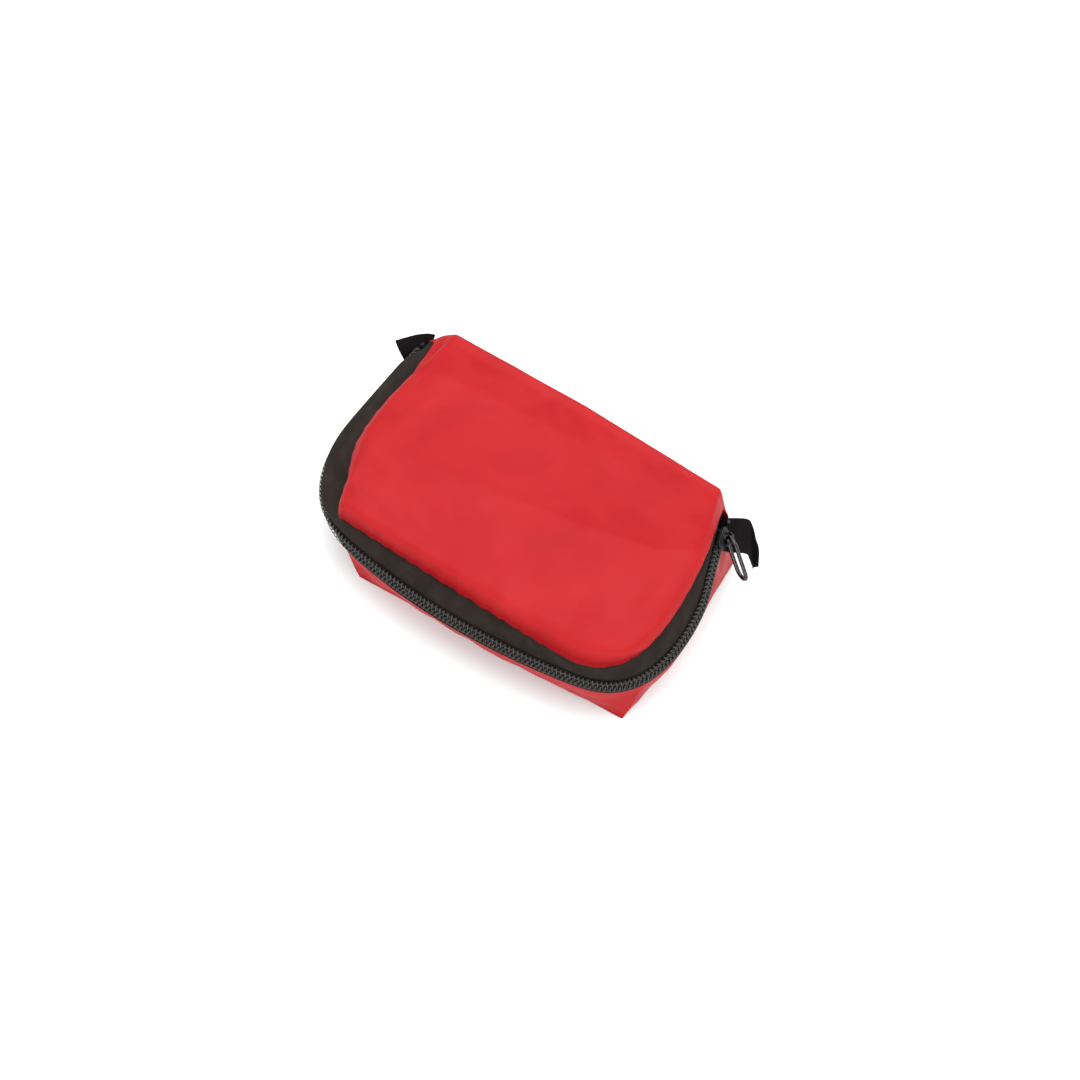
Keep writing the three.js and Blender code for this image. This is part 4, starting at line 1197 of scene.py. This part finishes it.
def folded_blanket():
    """A foil blanket folded into a slab: fold edges all round its sides, and creases over its faces."""
    centre, half = box_mm("foil_blanket_pack")[2:]
    outline = rounded_rectangle(half[0], half[1], 3.5, 24)
    rings = []  # inset and height share of each ring, from the middle of the underside to that of the top
    for z in np.linspace(-1, 1, 33):
        shoulder = 1.6 * (1 - math.sqrt(max(0.0, 1 - max(0.0, abs(z) - 0.55) ** 2 / 0.2026)))
        fold = 0.55 * abs(math.sin(z * half[2] * math.pi / 1.15))
        rings.append((shoulder + fold, z))
    rings = [(28.0 - 3.0 * k, -1.0) for k in range(9)] + rings + [(4.0 + 3.0 * k, 1.0) for k in range(9)]
    points = []
    for inset, z in rings:
        ring = outline * ((half[:2] - inset) / half[:2])
        points.append(np.column_stack([ring, np.full(len(ring), z * half[2])]) + centre)
    grid = np.array(points)
    press = 0.35 * (1 + noise_at(grid, 11, 1.1)) + 0.2 * (1 + noise_at(grid, 4, 2.9))
    level = np.array([z for _, z in rings])[:, None]
    grid[..., 2] -= np.sign(level) * press * (np.abs(level) > 0.97)
    for line_x in (-15.5, 15.5):
        groove = np.exp(-(((grid[..., 0] - centre[0] - line_x) / 0.8) ** 2))
        grid[..., 2] -= 0.5 * groove * (level > 0.97)
    faces = grid_faces(*grid.shape[:2], True) + end_caps(*grid.shape[:2])
    obj = mesh_object("foil_blanket", grid.reshape(-1, 3), faces)
    outwards(obj)
    piece(obj, FOIL, "shell", ("foil_blanket_pack",))


def leaflet():
    """A printed sheet folded into four, standing along the rear wall."""
    lo, hi = box_mm("leaflet")[:2]
    layers, thickness = 4, 0.1
    low, high = lo[2] + 0.3, hi[2] - 0.3
    step = (hi[1] - lo[1] - 0.2) / (layers - 1)
    section = []
    for k in range(layers):
        y = lo[1] + 0.1 + k * step
        levels = np.linspace(low, high, 14)
        levels = levels if k % 2 == 0 else levels[::-1]
        section += [(y, z) for z in levels]
        if k + 1 < layers:
            turn_z = levels[-1] + (0.14 if k % 2 == 0 else -0.14)
            section.append((y + step / 2, turn_z))
    x = np.linspace(lo[0], hi[0], 60)
    section = np.array(section)
    grid = np.zeros((len(section), len(x), 3))
    grid[..., 0] = x[None]
    grid[..., 1] = section[:, 0][:, None]
    upper_edge = (section[:, 1] > high - 1)[:, None]
    grid[..., 2] = section[:, 1][:, None] - 0.25 * (1 + np.sin(x / 17))[None] * upper_edge
    obj = grid_object("instruction_leaflet", grid)
    solid(obj, thickness, offset=0.0)
    piece(obj, PAPER, "shell", ("leaflet",))


folded_blanket()
leaflet()


# ---------------------------------------------------------------- supplies: rolls
def spiral_roll(name, node, look, pitch, core):
    """A bandage wound up along X: one strip of cloth in a spiral, with its loose end on top."""
    lo, hi, centre, half = box_mm(node)
    turns = (half[2] - pitch / 2 - core) / pitch
    theta = np.linspace(0, turns * TAU, int(turns * 40))
    radius = core + pitch * theta / TAU
    x = np.linspace(lo[0] + 0.3, hi[0] - 0.3, 20)
    wound, px = np.meshgrid(theta, x, indexing="ij")
    r = np.repeat(radius[:, None], len(x), 1)
    sway = 0.22 * noise_at(np.stack([px * 0, r * np.cos(wound), r * np.sin(wound)], -1), 2.2, 4.0)
    turned = wound - theta[-1] + math.radians(70)
    grid = np.stack([px + sway, centre[1] - r * np.cos(turned), centre[2] + r * np.sin(turned)], -1)
    obj = grid_object(name, grid)
    solid(obj, pitch * 0.8, offset=0.0)
    piece(obj, look, "shell", (node,))


spiral_roll("crepe_roll", "crepe_bandage", CREPE, 0.85, 1.6)
spiral_roll("gauze_roll", "conforming_bandage", GAUZE, 0.7, 1.4)


def turned_about(axis, name, centre, profile, sides, looped):
    """A shape turned about the X or Z axis through its centre, from (radius, height) points."""
    angle = np.arange(sides) * TAU / sides
    points = []
    for r, height in profile:
        ring = [r * np.cos(angle), r * np.sin(angle)]
        ring.insert(axis, np.full(sides, height))
        points.append(np.stack(ring, -1) + centre)
    faces = grid_faces(len(points), sides, True, looped)
    obj = mesh_object(name, np.array(points).reshape(-1, 3), faces)
    outwards(obj)
    return obj


def ring_about_x(name, node, profile, look):
    centre, half = box_mm(node)[2:]
    obj = turned_about(0, name, centre, profile(half[2], half[0]), 72, True)
    piece(obj, look, "shell", (node,))


def tape_roll_profile(outer, half):
    inner = 7.1
    windings = 9
    pitch = (outer - inner) / windings
    one_face = []
    for k in range(windings):
        r = inner + k * pitch
        one_face += [(r + 0.08 * pitch, half - 0.16), (r + 0.3 * pitch, half), (r + 0.75 * pitch, half)]
    return one_face + [(outer, half - 0.25), (outer, -half + 0.25)] + [(r, -x) for r, x in one_face[::-1]]


def core_profile(outer, half):
    inner, bevel = outer - 1.0, 0.2
    one_face = [(inner, bevel - half), (inner + bevel, -half), (outer - bevel, -half), (outer, bevel - half)]
    return one_face + [(r, -x) for r, x in one_face[::-1]]


ring_about_x("adhesive_tape", "tape_roll", tape_roll_profile, ZINC_TAPE)
ring_about_x("adhesive_tape_core", "tape_core", core_profile, CARD)


# ---------------------------------------------------------------- supplies: steel pieces
def steel(name, parts, node, body="shell"):
    piece(merged(name, parts), STEEL, body, (node,))


def bandage_clip(name, node):
    """A small plate with two claws at each end and a ridge along it."""
    centre, half = box_mm(node)[2:]
    outline = rounded_rectangle(half[0], half[2], 1.6, 4)

    def place(p):
        return np.stack([p[:, 0], p[:, 2], p[:, 1]], -1) + centre

    parts = [plate("clip_plate", outline, -half[1], half[1] - 0.2, 0.1, place)]
    parts.append(plate("clip_ridge", outline * [0.7, 0.3], -half[1] - 0.12, half[1] - 0.2, 0.12, place))
    for x in (-half[0] + 1.2, half[0] - 1.2):
        for z in (-1.0, 1.0):
            claw = [(x - 0.35, z - 0.35), (x + 0.35, z - 0.35), (x + 0.35, z + 0.35), (x - 0.35, z + 0.35)]
            parts.append(plate("claw", claw, -half[1] + 0.1, half[1], 0.1, place))
    steel(name, parts, node)


bandage_clip("crepe_clip_1", "bandage_clip_1")
bandage_clip("crepe_clip_2", "bandage_clip_2")


def quadratic(a, control, b, steps=12):
    """Points of a curve from a to b, without a itself."""
    return [tuple(p) for p in bent(*(np.array(q, float) for q in (a, control, b)), steps)][1:]


def tweezers():
    lo, hi, centre = box_mm("tweezers")[:3]
    low, high, middle, width = lo[2], hi[2], centre[2], hi[2] - lo[2]
    near = [(-42, -12.2), (-34, -12.4)] + quadratic((-34, -12.4), (0, -13.6), (26, -9.6))
    near += [(26, -9.15)] + quadratic((26, -9.15), (0, -12.5), (-33, -11.2)) + [(-36, -9.4), (-42, -9.2)]
    far = [(x, -18 - y) for x, y in near][::-1]
    parts = [plate("arm_near", near, low, high, 0.18), plate("arm_far", far, low, high, 0.18)]
    parts.append(rounded_box("heel", (6.5, 6.2, width), (-38.7, -9, middle), 0.7))
    for x in np.arange(-6, 10, 1.3):
        y = -12.5 + 0.0022 * (x + 6) ** 2
        parts.append(rounded_box("grip", (0.5, 0.3, width - 0.7), (x, y, middle), 0.1))
    steel("splinter_tweezers", parts, "tweezers")


PIN_PATH = (
    (23.3, 2.4, 0), (13, 2.45, 0), (3.4, 2.3, 0), (1.0, 1.4, 0), (0.6, -0.4, 0.03), (1.8, -1.7, 0.12),
    (3.0, -0.4, 0.18), (1.9, 0.7, 0.15), (0.9, -0.6, 0.06), (2.6, -2.1, 0), (13, -2.35, 0), (22.3, -1.6, 0),
)


def safety_pin(k):
    """A wire with a coil at one end, and a folded clasp over the other."""
    pin, cap = f"safety_pin_{k}", f"safety_pin_cap_{k}"
    lo, hi = box_mm(pin)[:2]
    points = np.array(PIN_PATH) + vec(lo[0] + 0.5, 4.05, (lo[2] + hi[2]) / 2)
    wire = tube(f"safety_pin_wire_{k}", catmull(points, 8), 0.42, 8)
    piece(wire, STEEL, "shell", (pin,))
    lo, hi, centre, half = box_mm(cap)
    outline = [(-half[0], -half[1] * 0.8), (0.6, -half[1]), (half[0] * 0.8, -half[1] * 0.75), (half[0], 0)]
    shape = [(x + centre[0], y + centre[1]) for x, y in mirrored(outline)]
    parts = [plate("cap", shape, lo[2] + 0.1, hi[2] - 0.1, 0.6)]
    parts.append(rounded_box("cap_rib", (1.0, 5.0, 2 * half[2]), centre - vec(1.6, 0, 0), 0.4))
    steel(f"safety_pin_clasp_{k}", parts, cap)


SCISSORS_PIVOT = vec(2.0, -13.0, 0)


def scissors_half(name, side, node, body):
    """A blade, a shank and a rounded finger loop. `side` is the loop's side of the pivot."""
    lo, hi, centre = box_mm(node)[:3]
    low, high = lo[2], hi[2]

    def place(points):
        return points * vec(1, side, 1) + SCISSORS_PIVOT

    outline = [(-31, -0.3), (-4, -2.8)] + quadratic((-4, -2.8), (2, -3.0), (7, 0.2), 6)
    outline += [(13.5, 3.6), (11.5, 6.2)] + quadratic((11.5, 6.2), (3, 4.0), (-3, 2.4), 6) + [(-28, 0.8)]
    spine = [(-29, 0.1), (-6, -1.4), (-6, -0.4), (-28, 0.7)]
    parts = [plate("blade", outline, low, high, 0.22, place)]
    parts.append(plate("hollow_grind", spine, low + 0.06, high + 0.02, 0.05, place))
    angle = np.linspace(0, TAU, 64, endpoint=False)
    loop = np.stack([20.5 + 9.5 * np.cos(angle), 8.2 + 6.2 * np.sin(angle), np.full(64, centre[2])], -1)
    loop = place(loop)
    up = np.tile(vec(0, 0, 1), (64, 1))
    out = np.cross(tangents(loop, True), up)
    parts.append(tube("finger_loop", loop, 1.5, 14, closed=True, flat=0.43, cross=(out, up)))
    steel(name, parts, node, body)


def rivet():
    lo, hi, centre = box_mm("scissors_rivet")[:3]
    low, high = lo[2], hi[2]
    profile = [
        (0.01, low), (2.2, low), (2.6, low + 0.15), (2.6, low + 0.4), (1.3, low + 0.4), (1.3, high - 0.75),
        (2.6, high - 0.7), (2.6, high - 0.4), (2.0, high - 0.12), (1.0, high), (0.01, high),
    ]
    obj = turned_about(2, "pivot_rivet", centre * LEVEL, profile, 32, False)
    piece(obj, STEEL, "shell", ("scissors_rivet",))


tweezers()
for k in (1, 2, 3):
    safety_pin(k)
scissors_half("scissors_fixed_half", -1, "scissors_blade_fixed", "shell")
scissors_half("scissors_moving_half", 1, "scissors_blade_moving", "scissors_arm")
rivet()


# ---------------------------------------------------------------- floor, light and camera
def floor():
    look = Look("floor", (0.82, 0.9, 0.9), 0.75, Specular_IOR_Level=0.2)
    look.bump(look.noise(300, 3.0), 0.02)
    reach, low = 4000, -0.2
    corners = [(-reach, -reach, 0), (reach, -reach, 0), (reach, reach, 0), (-reach, reach, 0)]
    obj = mesh_object("floor", corners, [(0, 1, 2, 3)])
    obj.data.materials.append(look.material)
    obj.location.z = low * MM


def aimed(name, data, azimuth, elevation, distance, target=(0, 0, 0)):
    """A light or camera that looks at its target from so many metres away."""
    obj = bpy.data.objects.new(name, data)
    a, e = math.radians(azimuth), math.radians(elevation)
    back = Vector((math.sin(a) * math.cos(e), -math.cos(a) * math.cos(e), math.sin(e)))
    obj.location = Vector(target) * MM + back * distance
    obj.rotation_mode = "QUATERNION"
    obj.rotation_quaternion = (-back).to_track_quat("-Z", "Y")
    bpy.context.scene.collection.objects.link(obj)
    return obj


def area_light(name, azimuth, elevation, distance, size, power):
    light = bpy.data.lights.new(name, "AREA")
    light.shape = "DISK"
    light.size = size
    light.energy = power
    aimed(name, light, azimuth, elevation, distance)


def camera(azimuth, elevation, distance, target, lens):
    data = bpy.data.cameras.new("camera")
    data.lens = lens
    data.sensor_width = 36
    bpy.context.scene.camera = aimed("camera", data, azimuth, elevation, distance, target)


def studio_world(horizon, overhead):
    """Soft light from all round, brighter from above."""
    world = bpy.data.worlds.new("studio")
    world.use_nodes = True
    tree = world.node_tree
    backdrop = tree.nodes["Background"]
    backdrop.inputs["Color"].default_value = (1, 1, 1, 1)
    direction = add_node(tree, "ShaderNodeTexCoord", {}, "Generated")
    height = add_node(tree, "ShaderNodeSeparateXYZ", {0: direction}, "Z")
    inputs = {"To Min": horizon, "To Max": overhead, "Value": height}
    feed(tree, backdrop.inputs["Strength"], add_node(tree, "ShaderNodeMapRange", inputs, "Result"))
    bpy.context.scene.world = world


floor()
studio_world(horizon=1.05, overhead=1.3)
area_light("front_fill", azimuth=25, elevation=14, distance=1.3, size=1.2, power=8)
area_light("softbox", azimuth=170, elevation=68, distance=1.3, size=1.8, power=17)
bpy.context.scene.view_settings.view_transform = "Standard"
camera(azimuth=32.5, elevation=62.5, distance=1.0, target=(6.5, -0.6, 20), lens=87.4)
